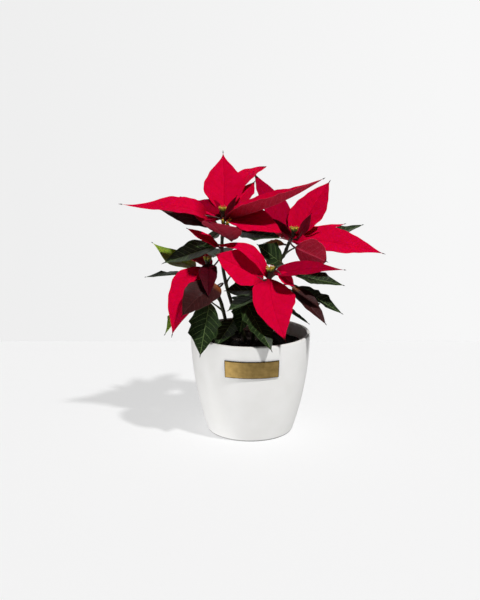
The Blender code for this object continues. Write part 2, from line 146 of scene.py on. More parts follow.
def tube(route: np.ndarray, radii: np.ndarray, sides: int) -> tuple[np.ndarray, list, np.ndarray]:
    """Make a closed round tube along a route.

    Args:
        route: the middle line's points, in millimetres.
        radii: the radius at each point.
        sides: how many sides the tube has.

    Returns:
        Points, faces, and for each point its turn in radians, its length along the tube and its share
        of the whole length.
    """
    forward = unit_rows(np.gradient(route, axis=0))
    first = unit(np.cross(forward[0], (0.1, 1.0, 0.1)))
    turns = np.arange(sides) * 2 * math.pi / sides
    run = np.concatenate([[0], np.cumsum(np.linalg.norm(np.diff(route, axis=0), axis=1))])
    points, place = [], []
    for centre, direction, radius, length in zip(route, forward, radii, run):
        first = unit(first - direction * (first @ direction))
        second = np.cross(direction, first)
        for turn in turns:
            points.append(centre + radius * (math.cos(turn) * first + math.sin(turn) * second))
            place.append((turn, length, length / run[-1]))
    last = (len(route) - 1) * sides
    faces = []
    for ring in range(0, last, sides):
        for side in range(sides):
            a, b = ring + side, ring + (side + 1) % sides
            faces.append((a, b, b + sides, a + sides))
    faces += [tuple(range(sides))[::-1], tuple(range(last, last + sides))]
    return np.array(points), faces, np.array(place)


def turned(profile: np.ndarray, sides: int) -> tuple[np.ndarray, list, np.ndarray]:
    """Spin a closed profile about Z.

    Args:
        profile: radius and height in millimetres, whose first and last points lie on the axis.
        sides: how many sides the round has.

    Returns:
        Points, faces, and for each point its turn in radians, its height and its radius.
    """
    (_, low), *inner, (_, high) = profile
    points, place = [(0.0, 0.0, low)], [(0.0, low, 0.0)]
    for radius, height in inner:
        for side in range(sides):
            turn = 2 * math.pi * side / sides
            points.append((radius * math.cos(turn), radius * math.sin(turn), height))
            place.append((turn, height, radius))
    last = len(points)
    points.append((0.0, 0.0, high))
    place.append((0.0, high, 0.0))
    faces = []
    for side in range(sides):
        after = (side + 1) % sides
        faces.append((0, 1 + after, 1 + side))
        for a in range(1, last - sides, sides):
            faces.append((a + side, a + after, a + sides + after, a + sides + side))
        faces.append((last - sides + side, last - sides + after, last))
    return np.array(points), faces, np.array(place)


def slab(top: np.ndarray, under: np.ndarray) -> tuple[np.ndarray, tuple[list, list, list]]:
    """Close two grids of points, one over the other, into one thin body.

    Args:
        top: the upper grid, as rows and columns of points.
        under: the lower grid.

    Returns:
        The points, and the faces of the upper grid, of the lower grid and of the rim.
    """
    rows, columns = top.shape[:2]
    layer = rows * columns
    grid = np.arange(layer).reshape(rows, columns)
    a, b, c, d = grid[:-1, :-1], grid[:-1, 1:], grid[1:, 1:], grid[1:, :-1]
    front = np.stack([a, b, c, d], axis=-1).reshape(-1, 4)
    back = np.stack([a, d, c, b], axis=-1).reshape(-1, 4) + layer
    loop = [*grid[:, 0], *grid[-1, 1:], *grid[-2::-1, -1], *grid[0, -2:0:-1]]
    rim = [(p, q, q + layer, p + layer) for p, q in zip(loop, loop[1:] + loop[:1])]
    return np.concatenate([top, under]).reshape(-1, 3), (front.tolist(), back.tolist(), rim)


@dataclass
class MeshDraft:
    """A mesh under way: points in millimetres, faces with their finish, and values per point."""

    points: list = field(default_factory=list)
    faces: list = field(default_factory=list)
    finish: list = field(default_factory=list)
    place: list = field(default_factory=list)
    edge: list = field(default_factory=list)
    vein: list = field(default_factory=list)

    def add(self, points: np.ndarray, faces: list, finish: int | list, place: np.ndarray,
            edge: np.ndarray | float = 99.0, vein: np.ndarray | float = 0.0) -> None:
        """Add one closed body.

        Args:
            points: its points, in millimetres.
            faces: its faces, as point numbers from 0.
            finish: the material number of all its faces, or one for each.
            place: for each point, where it lies on the surface, which the materials read.
            edge: for each point, the distance to the surface's edge in millimetres.
            vein: for each point, how many side veins lie between it and the blade's foot; on the pot, how
                strong the painted contact shade at its foot is.
        """
        start = len(self.points)
        self.points += [tuple(point) for point in points]
        self.faces += [tuple(start + at for at in face) for face in faces]
        self.finish += finish if isinstance(finish, list) else [finish] * len(faces)
        self.place += [tuple(row) for row in place]
        self.edge += list(np.broadcast_to(edge, len(points)))
        self.vein += list(np.broadcast_to(vein, len(points)))

    def add_tube(self, route: np.ndarray, radii: np.ndarray, sides: int, finish: int) -> None:
        """Add a round tube, whose arguments are those of tube and add."""
        points, faces, place = tube(route, radii, sides)
        self.add(points, faces, finish, place)

    def piece(self, name: str, materials: list, node: str, sharp: float = 50.0) -> None:
        """Make the object, dress it and tie it to the frame.

        Args:
            name: the piece's name.
            materials: its materials, in the order that the faces number them.
            node: the CAD node that the piece stands for, alone or with others.
            sharp: the angle in degrees from which an edge is shaded sharp.
        """
        mesh = bpy.data.meshes.new(name)
        mesh.from_pydata((np.array(self.points) * MM).tolist(), [], self.faces)
        for material in materials:
            mesh.materials.append(material)
        mesh.polygons.foreach_set("material_index", self.finish)
        place = mesh.attributes.new("place", "FLOAT_VECTOR", "POINT")
        place.data.foreach_set("vector", np.array(self.place, np.float32).ravel())
        for name_of, values in (("edge", self.edge), ("vein", self.vein)):
            kept = mesh.attributes.new(name_of, "FLOAT", "POINT")
            kept.data.foreach_set("value", np.array(values, np.float32))
        mesh.shade_smooth()
        mesh.set_sharp_from_angle(angle=math.radians(sharp))
        thing = bpy.data.objects.new(name, mesh)
        bpy.context.scene.collection.objects.link(thing)
        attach(thing, BODY)
        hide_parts(node)
        log.info("%s: %d faces", name, len(self.faces))


# Finishes
# Reliefs, depths and widths are in millimetres, and spans of clouds and streaks in noise values.

class MaterialDraft:
    """A material under way, with short ways to add the nodes that feed its shader."""

    def __init__(self, name: str) -> None:
        """Start the material under its name."""
        self.material = bpy.data.materials.new(name)
        self.material.use_nodes = True
        self.tree = self.material.node_tree

    def value(self, name: str, output: str = "Fac") -> Socket:
        """Read a value that the mesh's points carry, a number unless the output is "Vector"."""
        return add_node(self.tree, "Attribute", {"attribute_name": name}).outputs[output]

    def object_place(self) -> Socket:
        """Read the place in the object's own metres."""
        return add_node(self.tree, "TexCoord", {}).outputs["Object"]

    def parts(self, vector: Socket) -> bpy.types.NodeOutputs:
        """Split a vector into X, Y and Z."""
        return add_node(self.tree, "SeparateXYZ", {0: vector}).outputs

    def stretched(self, vector: Socket, scale: tuple) -> Socket:
        """Scale a vector by a factor along each axis."""
        return add_node(self.tree, "Mapping", {"Scale": scale, "Vector": vector}).outputs[0]

    def combine(self, operation: str, *values: Socket | float) -> Socket:
        """Work on numbers with one operation of the Math node."""
        return add_node(self.tree, "Math", {"operation": operation, **dict(enumerate(values))}).outputs[0]

    def ramp(self, source: Socket, span: tuple, ends: tuple = (0.0, 1.0), smooth: bool = False) -> Socket:
        """Map a span of values onto another, held at both ends, and easing in and out if smooth."""
        kind = "SMOOTHSTEP" if smooth else "LINEAR"
        settings = {"interpolation_type": kind, 0: source, 1: span[0], 2: span[1], 3: ends[0], 4: ends[1]}
        return add_node(self.tree, "MapRange", settings).outputs[0]

    def mix(self, share: Socket, first: Socket | str, second: Socket | str) -> Socket:
        """Blend two colours, the first where the share is 0 and the second where it is 1."""
        return add_node(self.tree, "Mix", {"data_type": "RGBA", 0: share, 6: first, 7: second}).outputs[2]

    def noise(self, vector: Socket, scale: float, detail: float, roughness: float = 0.5) -> Socket:
        """Make noise about 0.5: its clouds per unit, how often they are halved, how strong the finer are."""
        return add_node(self.tree, "TexNoise", {"Vector": vector, "Scale": scale, "Detail": detail,
                                                "Roughness": roughness}).outputs["Fac"]

    def bump(self, height: Socket, strength: float, relief: float, **under: Socket) -> Socket:
        """Bend the normal by a height that stands out by its relief, or sinks in where that is negative."""
        return add_node(self.tree, "Bump", {"Height": height, "Strength": strength, "invert": relief < 0,
                                            "Distance": abs(relief) * MM, **under}).outputs[0]

    def finish(self, settings: dict) -> bpy.types.Material:
        """Feed the shader's sockets and return the material."""
        feed(self.tree, self.tree.nodes["Principled BSDF"], settings)
        return self.material


@dataclass(frozen=True)
class BladeFinish:
    """Living blade tissue: flesh between raised or sunken veins, under a waxy or velvety skin.

    The side veins run out from the midrib at a steady spacing and the fine net fills the fields
    between them, as on the real leaf. The flesh is mottled at the size of a thumbprint and again at that
    of a pore. Spans are in millimetres, but in shares of a vein's field for side_vein, in cells of the
    net for net_vein, in noise values for mottle_span, and in shares of the blade's length for tip_span
    and foot_span.
    """

    name: str
    flesh: str
    deep: str
    vein: str
    tip: str
    foot: str
    rim: str
    roughness: float
    specular: float
    glow: float
    glow_depth: float = 1.0
    velvet: float = 0.0
    vein_show: float = 0.5
    net_show: float = 0.2
    vein_relief: float = -0.12
    grain_relief: float = 0.03

    side_vein: tuple = (0.01, 0.055)
    side_vein_fade: tuple = (0.3, 4.0)
    midrib: tuple = (0.2, 0.7)
    net_vein: tuple = (0.01, 0.12)
    net_scale: float = 0.45
    mottle_scale: float = 0.12
    mottle_span: tuple = (0.3, 0.75)
    tip_span: tuple = (0.93, 0.985)
    foot_span: tuple = (0.02, 0.16)
    rim_span: tuple = (0.05, 0.5)
    rim_show: float = 0.8
    grain_scale: float = 2.2

    def material(self) -> bpy.types.Material:
        """Build the material, which reads the blade's place, edge and vein values.

        Returns:
            The material.
        """
        draft = MaterialDraft(self.name)
        fall = (1.0, 0.0)
        place, edge = draft.value("place", "Vector"), draft.value("edge")
        across, _, along = draft.parts(place)
        away = draft.combine("PINGPONG", draft.value("vein"), 0.5)
        side_vein = draft.combine("MULTIPLY", draft.ramp(away, self.side_vein, fall, smooth=True),
                                  draft.ramp(edge, self.side_vein_fade))
        midrib = draft.ramp(draft.combine("ABSOLUTE", across), self.midrib, fall, smooth=True)
        cells = add_node(draft.tree, "TexVoronoi", {"feature": "DISTANCE_TO_EDGE", "Scale": self.net_scale,
                                                    "Vector": place})
        net = draft.ramp(cells.outputs["Distance"], self.net_vein, fall, smooth=True)
        veins = draft.combine("MAXIMUM", side_vein, draft.combine("MULTIPLY", net, self.net_show))
        veins = draft.combine("MAXIMUM", veins, midrib)
        mottle = draft.ramp(draft.noise(place, self.mottle_scale, 5.0, 0.6), self.mottle_span)
        colour = draft.mix(mottle, self.flesh, self.deep)
        colour = draft.mix(draft.combine("MULTIPLY", veins, self.vein_show), colour, self.vein)
        colour = draft.mix(draft.ramp(along, self.tip_span), colour, self.tip)
        colour = draft.mix(draft.ramp(along, self.foot_span, fall), colour, self.foot)
        colour = draft.mix(draft.ramp(edge, self.rim_span, (self.rim_show, 0.0)), colour, self.rim)
        grain = draft.bump(draft.noise(place, self.grain_scale, 3.0), 0.5, self.grain_relief)
        return draft.finish({
            "Base Color": colour,
            "Normal": draft.bump(veins, 1.0, self.vein_relief, Normal=grain),
            "Roughness": self.roughness,
            "Specular IOR Level": self.specular,
            "Subsurface Weight": self.glow,
            "Subsurface Radius": linear(self.flesh)[:3],
            "Subsurface Scale": self.glow_depth * MM,
            "Sheen Weight": self.velvet,
            "Sheen Roughness": 0.5,
            "Sheen Tint": self.vein,
        })


class Tone(Enum):
    """Which tissue a blade is made of, by the start of its materials' names. Some tones paint in shade or
    light, as their comments say.
    """

    CRIMSON = "bract_velvet"
    # Painted shade: a darker copy of the crimson bract tissue, for bracts that sit in shade.
    DEEP = "bract_painted_shade"
    # Painted shade: a darker, duller copy of the bract tissue, for small inner bracts in shade.
    WINE = "bract_wine_painted_shade"
    # Painted shade: the darkest copy of the bract tissue, for a bract deep in shade.
    DUSK = "bract_dusk_painted_shade"
    GREEN = "leaf_wax"
    MAROON = "leaf_maroon"
    # Paler by nature, and brightened in part as painted backlight.
    PALE = "leaf_young"
    # Painted light: a whitened copy of the young leaf, for a leaf lit from behind.
    BLEACHED = "leaf_painted_backlight"


# Bracts are matt and even above, pinker and net-veined below. Green leaves are waxy and near black in this
# light, with paler veins. Pale leaves are young and thin, so light comes through them; their flesh is also
# brightened as painted backlight.
BRACT = ({"roughness": 0.75, "specular": 0.02, "glow": 0.2, "vein_show": 0.25, "net_show": 0.12,
          "vein_relief": -0.1},
         {"roughness": 0.7, "specular": 0.08, "glow": 0.2, "velvet": 0.02, "vein_show": 0.45,
          "net_show": 0.5, "vein_relief": 0.2})
DARK_BRACT = ({"roughness": 0.62, "specular": 0.04, "glow": 0.2, "vein_show": 0.3, "net_show": 0.15},
              {"roughness": 0.66, "specular": 0.04, "glow": 0.2, "vein_show": 0.4, "net_show": 0.4,
               "vein_relief": 0.2})
GREEN_LEAF = ({"roughness": 0.45, "specular": 0.16, "glow": 0.03, "velvet": 0.22, "vein_show": 0.62,
               "net_show": 0.16, "vein_relief": -0.16},
              {"roughness": 0.6, "specular": 0.12, "glow": 0.05, "vein_show": 0.6, "net_show": 0.4,
               "vein_relief": 0.25})
MAROON_LEAF = ({"roughness": 0.5, "specular": 0.14, "glow": 0.04, "vein_show": 0.45, "vein_relief": -0.16},
               {**GREEN_LEAF[1], "vein_show": 0.55})
YOUNG_LEAF = ({"roughness": 0.5, "specular": 0.3, "glow": 0.5, "glow_depth": 1.6, "vein_show": 0.45},
              {"roughness": 0.6, "specular": 0.25, "glow": 0.5, "glow_depth": 1.6, "vein_show": 0.55,
               "net_show": 0.4, "vein_relief": 0.25})
# Habits of the backlit leaf, whose whitened colours are painted light.
BACKLIT_LEAF_HABITS = (YOUNG_LEAF[0], {**YOUNG_LEAF[1], "vein_show": 0.5, "net_show": 0.3})

# For each tone the flesh, deep, vein, tip, foot and rim colours of its upper and of its lower skin
SKINS = {
    Tone.CRIMSON: (BRACT,
                   "D60038 C6002E AE0028 30100E 8C0018 D40C3A",
                   "B01834 980E28 C64A62 30100E 700E20 CC6078"),
    # The crimson bract darkened as painted shade.
    Tone.DEEP: (BRACT,
                "A4002C 960024 840020 280C0E 6C0014 A60C30",
                "8C142A 780E20 9C3C50 280C0E 5A0A18 A05062"),
    # Wine red, the bract tissue darkened as painted shade.
    Tone.WINE: (DARK_BRACT,
                "66061A 4E0412 3E0410 1A080A 34080E 7C1830",
                "5A0A1C 460614 742030 1A080A 340A10 6C1C2E"),
    # The bract tissue darkened further still, as painted shade.
    Tone.DUSK: (DARK_BRACT,
                "4A0412 38030E 300410 160608 2A060C 5E1026",
                "400814 320510 521622 160608 2A080E 501420"),
    Tone.GREEN: (GREEN_LEAF,
                 "0F2409 0A1906 7A9258 16160E 2A2814 35481E",
                 "1E2A18 172112 4A5A38 16160E 2E2416 2E3A22"),
    Tone.MAROON: (MAROON_LEAF,
                  "3C1616 280D0D 5E3432 140C0C 8A4A1C 4C2422",
                  "30161A 221014 4A2C2C 140C0C 46240E 3E2224"),
    # Young-leaf colours, paler by nature and brightened further as painted backlight.
    Tone.PALE: (YOUNG_LEAF,
                "86A01E 5E7C10 B0BE50 20200E 5A5A20 A2B44A",
                "7C961C 587410 A6B64C 20200E 5A5A20 98AA42"),
    # The young leaf whitened as painted backlight.
    Tone.BLEACHED: (BACKLIT_LEAF_HABITS,
                    "B8C490 A4B47C D0D8B0 3A3A20 8A8A50 C4CCA0",
                    "B0BC88 9CAC74 CCD4AC 3A3A20 8A8A50 C4CCA0"),
}


def skins(tone: Tone) -> list[bpy.types.Material]:
    """Build the materials of a tone's upper and lower skin."""
    habits, *palettes = SKINS[tone]
    return [BladeFinish(f"{tone.value}_{side}", *colours.split(), **habit).material()
            for side, colours, habit in zip(("upper", "lower"), palettes, habits)]


@dataclass(frozen=True)
class StemFinish:
    """Stem bark and stalk skin: green-brown, with streaks along its length and patches of blush.

    A streak is a few tenths of a millimetre wide and several millimetres long.
    """

    name: str
    light: str
    dark: str
    blush: str
    blush_amount: float
    roughness: float = 0.5
    streaks: tuple = (2.4, 0.12, 1.0)
    streak_span: tuple = (0.35, 0.68)
    streak_relief: float = 0.12
    patch_scale: float = 0.07
    patch_span: tuple = (0.62, 0.72)
    patch_growth: tuple = (0.4, 0.2)

    def material(self) -> bpy.types.Material:
        """Build the material, which reads the tube's turn and length.

        Returns:
            The material.
        """
        draft = MaterialDraft(self.name)
        place = draft.value("place", "Vector")
        streak = draft.noise(draft.stretched(place, self.streaks), 1.0, 4.0)
        bark = draft.mix(draft.ramp(streak, self.streak_span), self.light, self.dark)
        blushing = tuple(at - self.blush_amount * growth
                         for at, growth in zip(self.patch_span, self.patch_growth))
        patch = draft.ramp(draft.noise(place, self.patch_scale, 2.0), blushing)
        return draft.finish({
            "Base Color": draft.mix(patch, bark, self.blush),
            "Normal": draft.bump(streak, 0.7, self.streak_relief),
            "Roughness": self.roughness,
            "Specular IOR Level": 0.35,
        })


@dataclass(frozen=True)
class CupFinish:
    """Waxy flower tissue: smooth, a little translucent, greener at the foot than at the mouth."""

    name: str
    foot: str
    mouth: str
    roughness: float = 0.4
    glow: float = 0.15
    glow_depth: float = 0.8
    cloud_scale: float = 1.4
    cloud_share: float = 0.4
    mouth_span: tuple = (0.45, 1.15)
    relief: float = 0.1

    def material(self) -> bpy.types.Material:
        """Build the material, which reads the cup's share of height.

        Returns:
            The material.
        """
        draft = MaterialDraft(self.name)
        place = draft.value("place", "Vector")
        cloud = draft.noise(place, self.cloud_scale, 3.0)
        height = draft.combine("MULTIPLY_ADD", cloud, self.cloud_share, draft.parts(place)["Z"])
        return draft.finish({
            "Base Color": draft.mix(draft.ramp(height, self.mouth_span), self.foot, self.mouth),
            "Normal": draft.bump(cloud, 0.4, self.relief),
            "Roughness": self.roughness,
            "Specular IOR Level": 0.4,
            "Subsurface Weight": self.glow,
            "Subsurface Radius": linear(self.mouth)[:3],
            "Subsurface Scale": self.glow_depth * MM,
        })


@dataclass(frozen=True)
class GlazeFinish:
    """Satin glaze fired on stoneware: off-white, softly shining, with a faint orange-peel surface.

    It thins over the lip and at the foot, where the body shows through. A thin band of painted shade
    darkens the foot where it meets the table.
    """

    name: str = "stoneware_satin_glaze"
    body: str = "F7F6F4"
    cloud: str = "F3F2EF"
    worn: str = "C9C2B8"
    # The next colour is painted shade where the foot meets the table.
    contact: str = "1E1A16"
    peel_mm: float = 2.5
    cloud_mm: float = 30.0
    cloud_span: tuple = (0.4, 0.7)
    thin_span: tuple = (0.0, 1.6)
    thin_show: float = 0.45
    peel_relief: float = 0.05

    def material(self) -> bpy.types.Material:
        """Build the material, which reads object coordinates, the pot's edge values and its painted foot
        shade.

        Returns:
            The material.
        """
        draft = MaterialDraft(self.name)
        where = draft.object_place()
        cloud = draft.ramp(draft.noise(where, 1 / (self.cloud_mm * MM), 3.0), self.cloud_span)
        thin = draft.ramp(draft.value("edge"), self.thin_span, (self.thin_show, 0.0))
        glaze = draft.mix(thin, draft.mix(cloud, self.body, self.cloud), self.worn)
        peel = draft.noise(where, 1 / (self.peel_mm * MM), 2.0)
        return draft.finish({
            # The foot's colour mixes in painted shade where the pot meets the table.
            "Base Color": draft.mix(draft.value("vein"), glaze, self.contact),
            "Normal": draft.bump(peel, 0.25, self.peel_relief),
            "Roughness": 0.38,
            "Specular IOR Level": 0.5,
            "Coat Weight": 0.25,
            "Coat Roughness": 0.2,
        })


@dataclass(frozen=True)
class BrassFinish:
    """Antiqued brass sheet, brushed along its length and left dull: darker where it was cut."""

    name: str = "brass_brushed_antique"
    metal: str = "AC9058"
    dull: str = "8E7646"
    patina: str = "241C10"
    brush_mm: tuple = (100 / 3, 0.5)
    stain_scale: float = 0.16
    dull_span: tuple = (0.55, 0.95)
    cut_span: tuple = (0.3, 1.3)
    relief: float = 0.03

    def material(self) -> bpy.types.Material:
        """Build the material, which reads the plate's place and edge values.

        Returns:
            The material.
        """
        draft = MaterialDraft(self.name)
        place = draft.value("place", "Vector")
        along, across = self.brush_mm
        brush = draft.noise(draft.stretched(place, (1 / along, 1 / across, 1.0)), 1.0, 4.0)
        stain = draft.noise(place, self.stain_scale, 4.0)
        share = draft.ramp(draft.combine("MULTIPLY_ADD", brush, 0.5, stain), self.dull_span)
        rim = draft.ramp(draft.value("edge"), self.cut_span, (1.0, 0.0))
        return draft.finish({
            "Base Color": draft.mix(rim, draft.mix(share, self.metal, self.dull), self.patina),
            "Normal": draft.bump(brush, 0.5, self.relief),
            "Metallic": 1.0,
            "Roughness": 0.45,
        })


@dataclass(frozen=True)
class GrowingMediumFinish:
    """Sphagnum peat, milled and damp: black-brown fibre with a matt surface, or expanded perlite."""

    name: str
    dark: str
    light: str
    grain_mm: float
    relief: float
    roughness: float = 0.95
    light_span: tuple = (0.38, 0.7)

    def material(self) -> bpy.types.Material:
        """Build the material, which reads object coordinates.

        Returns:
            The material.
        """
        draft = MaterialDraft(self.name)
        grain = draft.noise(draft.object_place(), 1 / (self.grain_mm * MM), 6.0, 0.7)
        return draft.finish({
            "Base Color": draft.mix(draft.ramp(grain, self.light_span), self.dark, self.light),
            "Normal": draft.bump(grain, 1.0, self.relief),
            "Roughness": self.roughness,
            "Specular IOR Level": 0.2,
        })


class Finishes:
    """All the materials, each made once."""

    def __init__(self) -> None:
        """Build every material that the pieces share."""
        self.skins = {tone: skins(tone) for tone in Tone}
        self.stem = StemFinish("stem_green_bark", "34381C", "22240F", "2E1A12", 0.25).material()
        self.stalk_red = StemFinish("stalk_red_skin", "48181A", "2C1010", "543818", 0.1, 0.45).material()
        self.stalk_green = StemFinish("stalk_green_skin", "4C5224", "343A18", "4A2418", 0.3, 0.45).material()
        self.hub = StemFinish("hub_green_skin", "2C3214", "1C200C", "381418", 0.5, 0.5).material()
        self.cup = CupFinish("cup_waxy_green", "3E5A12", "B0A838").material()
        self.gland = CupFinish("nectar_gland_waxy", "C8A83A", "E8C858", 0.3, 0.25).material()
        self.thread = CupFinish("stamen_thread", "B83A2A", "E06A4A", 0.5, 0.2).material()
        self.glaze = GlazeFinish().material()
        self.brass = BrassFinish().material()
        self.peat = GrowingMediumFinish("peat_milled_damp", "0E0A08", "2C2019", 1.8, 0.6).material()
        self.perlite = GrowingMediumFinish("perlite_expanded", "8E8A82", "DAD6CE", 0.8, 0.15, 0.9).material()


# The plant

class BladePart(IntEnum):
    """The parts of a bract or leaf, in the order of its piece's materials."""

    UPPER = 0
    LOWER = 1
    STALK = 2


class CupPart(IntEnum):
    """The parts of a cluster, in the order of its piece's materials."""

    CUP = 0
    GLAND = 1
    THREAD = 2
    CUSHION = 3


def wave(turns: np.ndarray) -> np.ndarray:
    """Return a wave of height one, as high as it is after so many whole turns."""
    return np.sin(2 * math.pi * turns)


@dataclass(frozen=True)
class Blade:
    """One bract or leaf: its direction, size and bend, in degrees and millimetres.

    The midrib bows by arch, bends in an S by hook and turns aside by sway. The halves stand up by fold
    and curl up further by cup. Widest is where along it the blade is widest, and a higher fullness draws
    its two ends out thinner. What follows the tone is the same for all blades.
    """

    name: str
    heading: float
    rise: float
    length: float
    width: float
    roll: float = 0.0
    arch: float = 0.0
    hook: float = 0.0
    sway: float = 0.0
    fold: float = 8.0
    cup: float = 8.0
    widest: float = 0.42
    fullness: float = 2.2
    foot: tuple | None = None
    teeth: tuple = ()
    tone: Tone = Tone.CRIMSON

    thickness: float = 0.45
    tooth_rise: float = 0.14
    tooth_fall: float = 0.06
    tooth_size: float = 0.22
    stalk_radius: float = 1.1
    stalk_share: float = 0.3
    tip_half_width: float = 0.4
    tip_share: float = 0.05
    hem_waves: tuple = (2.3, 6.1)
    unevenness: float = 0.03
    vein_spacing: tuple = (3.4, 0.09)
    vein_lean: float = 0.4
    vein_bend: float = 0.014
    vein_wander: tuple = ((0.2, 9.0), (0.12, 4.0))
    vein_offset: float = 0.22
    first_vein: int = 40
    rib_depth: float = 0.5
    rib_reach: float = 0.8
    rib_clear: float = 4.0
    under_rib_depth: float = 0.65
    under_rib_reach: float = 0.9
    under_rib_width: float = 3.0
    thin_width: float = 1.5
    thinnest: float = 0.3
    puff: float = 0.16
    ruffle: float = 0.7
    ruffle_waves: tuple = ((26, 0.7), (13, 0.35))
    ruffle_pace: tuple = (0.85, 1.15)
    drift: float = 0.8
    drift_pace: tuple = (2.2, 3.1)
    row_range: tuple = (20, 72)
    rows_per_mm: float = 0.8
    half_columns: tuple = (6, 12)
    narrow: float = 20.0
    crowding: float = 1.35
    awn_share: float = 0.065
    awn_radius: float = 0.55
    awn_steps: tuple = (-0.4, 0.0, 0.35, 0.7, 1.0)
    awn_taper: tuple = (1.0, 1.0, 0.75, 0.5, 0.25)
    awn_droop: float = 0.12
    awn_sides: int = 6

    def half_width(self, t: np.ndarray) -> np.ndarray:
        """Work out the half width, teeth and foot included.

        Args:
            t: shares of the length.

        Returns:
            The half width at each share, in millimetres.
        """
        low = self.fullness * self.widest
        high = self.fullness * (1 - self.widest)
        outline = (t / self.widest) ** low * ((1 - t) / (1 - self.widest)) ** high
        tooth = np.zeros_like(t)
        for at in self.teeth:
            rising = np.clip(1 - (at - t) / self.tooth_rise, 0, 1) * (t <= at)
            falling = np.clip(1 - (t - at) / self.tooth_fall, 0, 1) * (t > at)
            tooth += self.tooth_size * (rising ** 1.5 + falling)
        stalk = self.stalk_radius * np.clip(1 - t / self.stalk_share, 0, 1)
        tip = self.tip_half_width * np.clip((1 - t) / self.tip_share, 0.25, 1)
        wide = self.width / 2 * outline * (1 + tooth)
        return np.maximum(wide, np.maximum(stalk, tip))

    def uneven_width(self, t: np.ndarray, s: np.ndarray) -> np.ndarray:
        """Give each edge its own small wander.

        Args:
            t: shares of the length.
            s: shares of the half width, from -1 to 1.

        Returns:
            The half width at each t and s, in millimetres.
        """
        chance = random.Random(self.name + str(self.width))
        slow, quick = self.hem_waves
        wander = []
        for _ in range(2):
            slow_start, quick_start = chance.random(), chance.random()
            wander.append(wave(t * slow + slow_start) + 0.5 * wave(t * quick + quick_start))
        left, right = (1 + self.unevenness * each[:, None] for each in wander)
        return self.half_width(t)[:, None] * np.where(s[None] < 0, left, right)

    def vein_count(self, x: np.ndarray, y: np.ndarray) -> np.ndarray:
        """Count the side veins between a point and the blade's foot.

        They leave the midrib at about 60 degrees, bend towards the tip, and alternate left and right.

        Args:
            x: distances from the midrib, negative to the left, in millimetres.
            y: distances along the midrib, in millimetres.

        Returns:
            The count, a whole number on a vein.
        """
        chance = random.Random(self.name + str(self.heading))
        spacing = self.vein_spacing[0] + self.vein_spacing[1] * self.width
        out = np.abs(x)
        along = y - self.vein_lean * out - self.vein_bend * out * out
        wander = sum(size * np.sin(y / span + chance.uniform(0, 6)) for size, span in self.vein_wander)
        return self.first_vein + along / spacing + wander + self.vein_offset * np.sign(x)

    def axes(self) -> tuple[np.ndarray, np.ndarray, np.ndarray]:
        """Return the directions along the blade, to its right side and out of its upper face."""
        heading, rise, roll = (math.radians(v) for v in (self.heading, self.rise, self.roll))
        along = level(heading, math.cos(rise)) + (0, 0, math.sin(rise))
        side = unit(np.cross(along, (0, 0, 1)))
        face = np.cross(side, along)
        return (along, side * math.cos(roll) - face * math.sin(roll),
                face * math.cos(roll) + side * math.sin(roll))

    def midrib(self, foot: np.ndarray, t: np.ndarray) -> np.ndarray:
        """Trace the bent midrib.

        Args:
            foot: where the blade starts.
            t: shares of the length.

        Returns:
            The midrib's points, one per row.
        """
        along, side, face = self.axes()
        t = t[:, None]
        bow = np.sin(math.pi * t)
        bend = self.arch * bow + self.hook * wave(t)
        return foot + along * self.length * t + face * bend + side * self.sway * bow

    def relief(self, t: np.ndarray, s: np.ndarray, width: np.ndarray) -> np.ndarray:
        """Work out how far the living surface stands off its plain form.

        The fields between the side veins puff up, the edge ruffles, and the whole blade drifts a
        little from side to side, each blade in its own way.

        Args:
            t: shares of the length, as a column.
            s: shares of the half width, as a row.
            width: the half width at each t and s.

        Returns:
            The height over the plain form at each t and s, in millimetres.
        """
        chance = random.Random(self.name + str(self.length))
        x = np.abs(s) * width
        y = t * self.length
        field_share = 0.5 - 0.5 * np.cos(2 * math.pi * self.vein_count(np.sign(s) * x, y))
        puff = self.puff * field_share * np.clip(x / self.rib_clear, 0, 1) * (1 - np.abs(s) ** 4)
        ruffle = 0.0
        for span, size in self.ruffle_waves:
            turns = y / span * chance.uniform(*self.ruffle_pace)
            ruffle = ruffle + size * wave(turns + np.where(s > 0, chance.random(), chance.random()))
        slow, quick = (np.sin(math.pi * (t * pace + chance.random() * 2)) for pace in self.drift_pace)
        drift = self.drift * (slow * s + 0.6 * quick * s * s)
        rib = -self.rib_depth * np.exp(-(x / self.rib_reach) ** 2) * (1 - t) ** 0.5
        bent = puff + self.ruffle * ruffle * np.abs(s) ** 3 + drift
        share = width / (self.width / 2)
        return bent * np.clip(share, 0, 1) + rib * np.clip(share * 2, 0, 1)

    def surface(self, foot: np.ndarray, t: np.ndarray, s: np.ndarray) -> tuple[np.ndarray, np.ndarray]:
        """Work out the middle surface.

        Args:
            foot: where the blade starts.
            t: shares along the blade.
            s: shares across it, from -1 to 1.

        Returns:
            The points, and the half width at each of them.
        """
        side = self.axes()[1]
        step = 1e-3
        tangent = unit_rows(self.midrib(foot, t + step) - self.midrib(foot, t - step))
        across = unit_rows(side - tangent * (tangent @ side)[:, None])
        up = np.cross(across, tangent)
        fold, cup = math.radians(self.fold), math.radians(self.cup)
        bend = fold + cup * np.abs(s)
        outward = (np.sin(bend) - math.sin(fold)) / cup * np.sign(s)
        lift = (math.cos(fold) - np.cos(bend)) / cup
        width = self.uneven_width(t, s)
        rise = width * lift + self.relief(t[:, None], s[None], width)
        return (self.midrib(foot, t)[:, None] + across[:, None] * (width * outward)[..., None]
                + up[:, None] * rise[..., None], width)

    def grid(self) -> tuple[np.ndarray, np.ndarray]:
        """Return the shares along and across the blade at which its rows and columns lie."""
        fewest, most = self.row_range
        rows = max(fewest, min(most, int(self.length * self.rows_per_mm)))
        shares = np.linspace(0, 1, rows)
        for at in self.teeth:
            shares = np.append(shares, (at, at + self.tooth_fall))
        few, many = self.half_columns
        half = np.linspace(0, 1, (many if self.width > self.narrow else few) + 1) ** self.crowding
        return np.unique(np.round(shares, 4)), np.concatenate([-half[:0:-1], half])

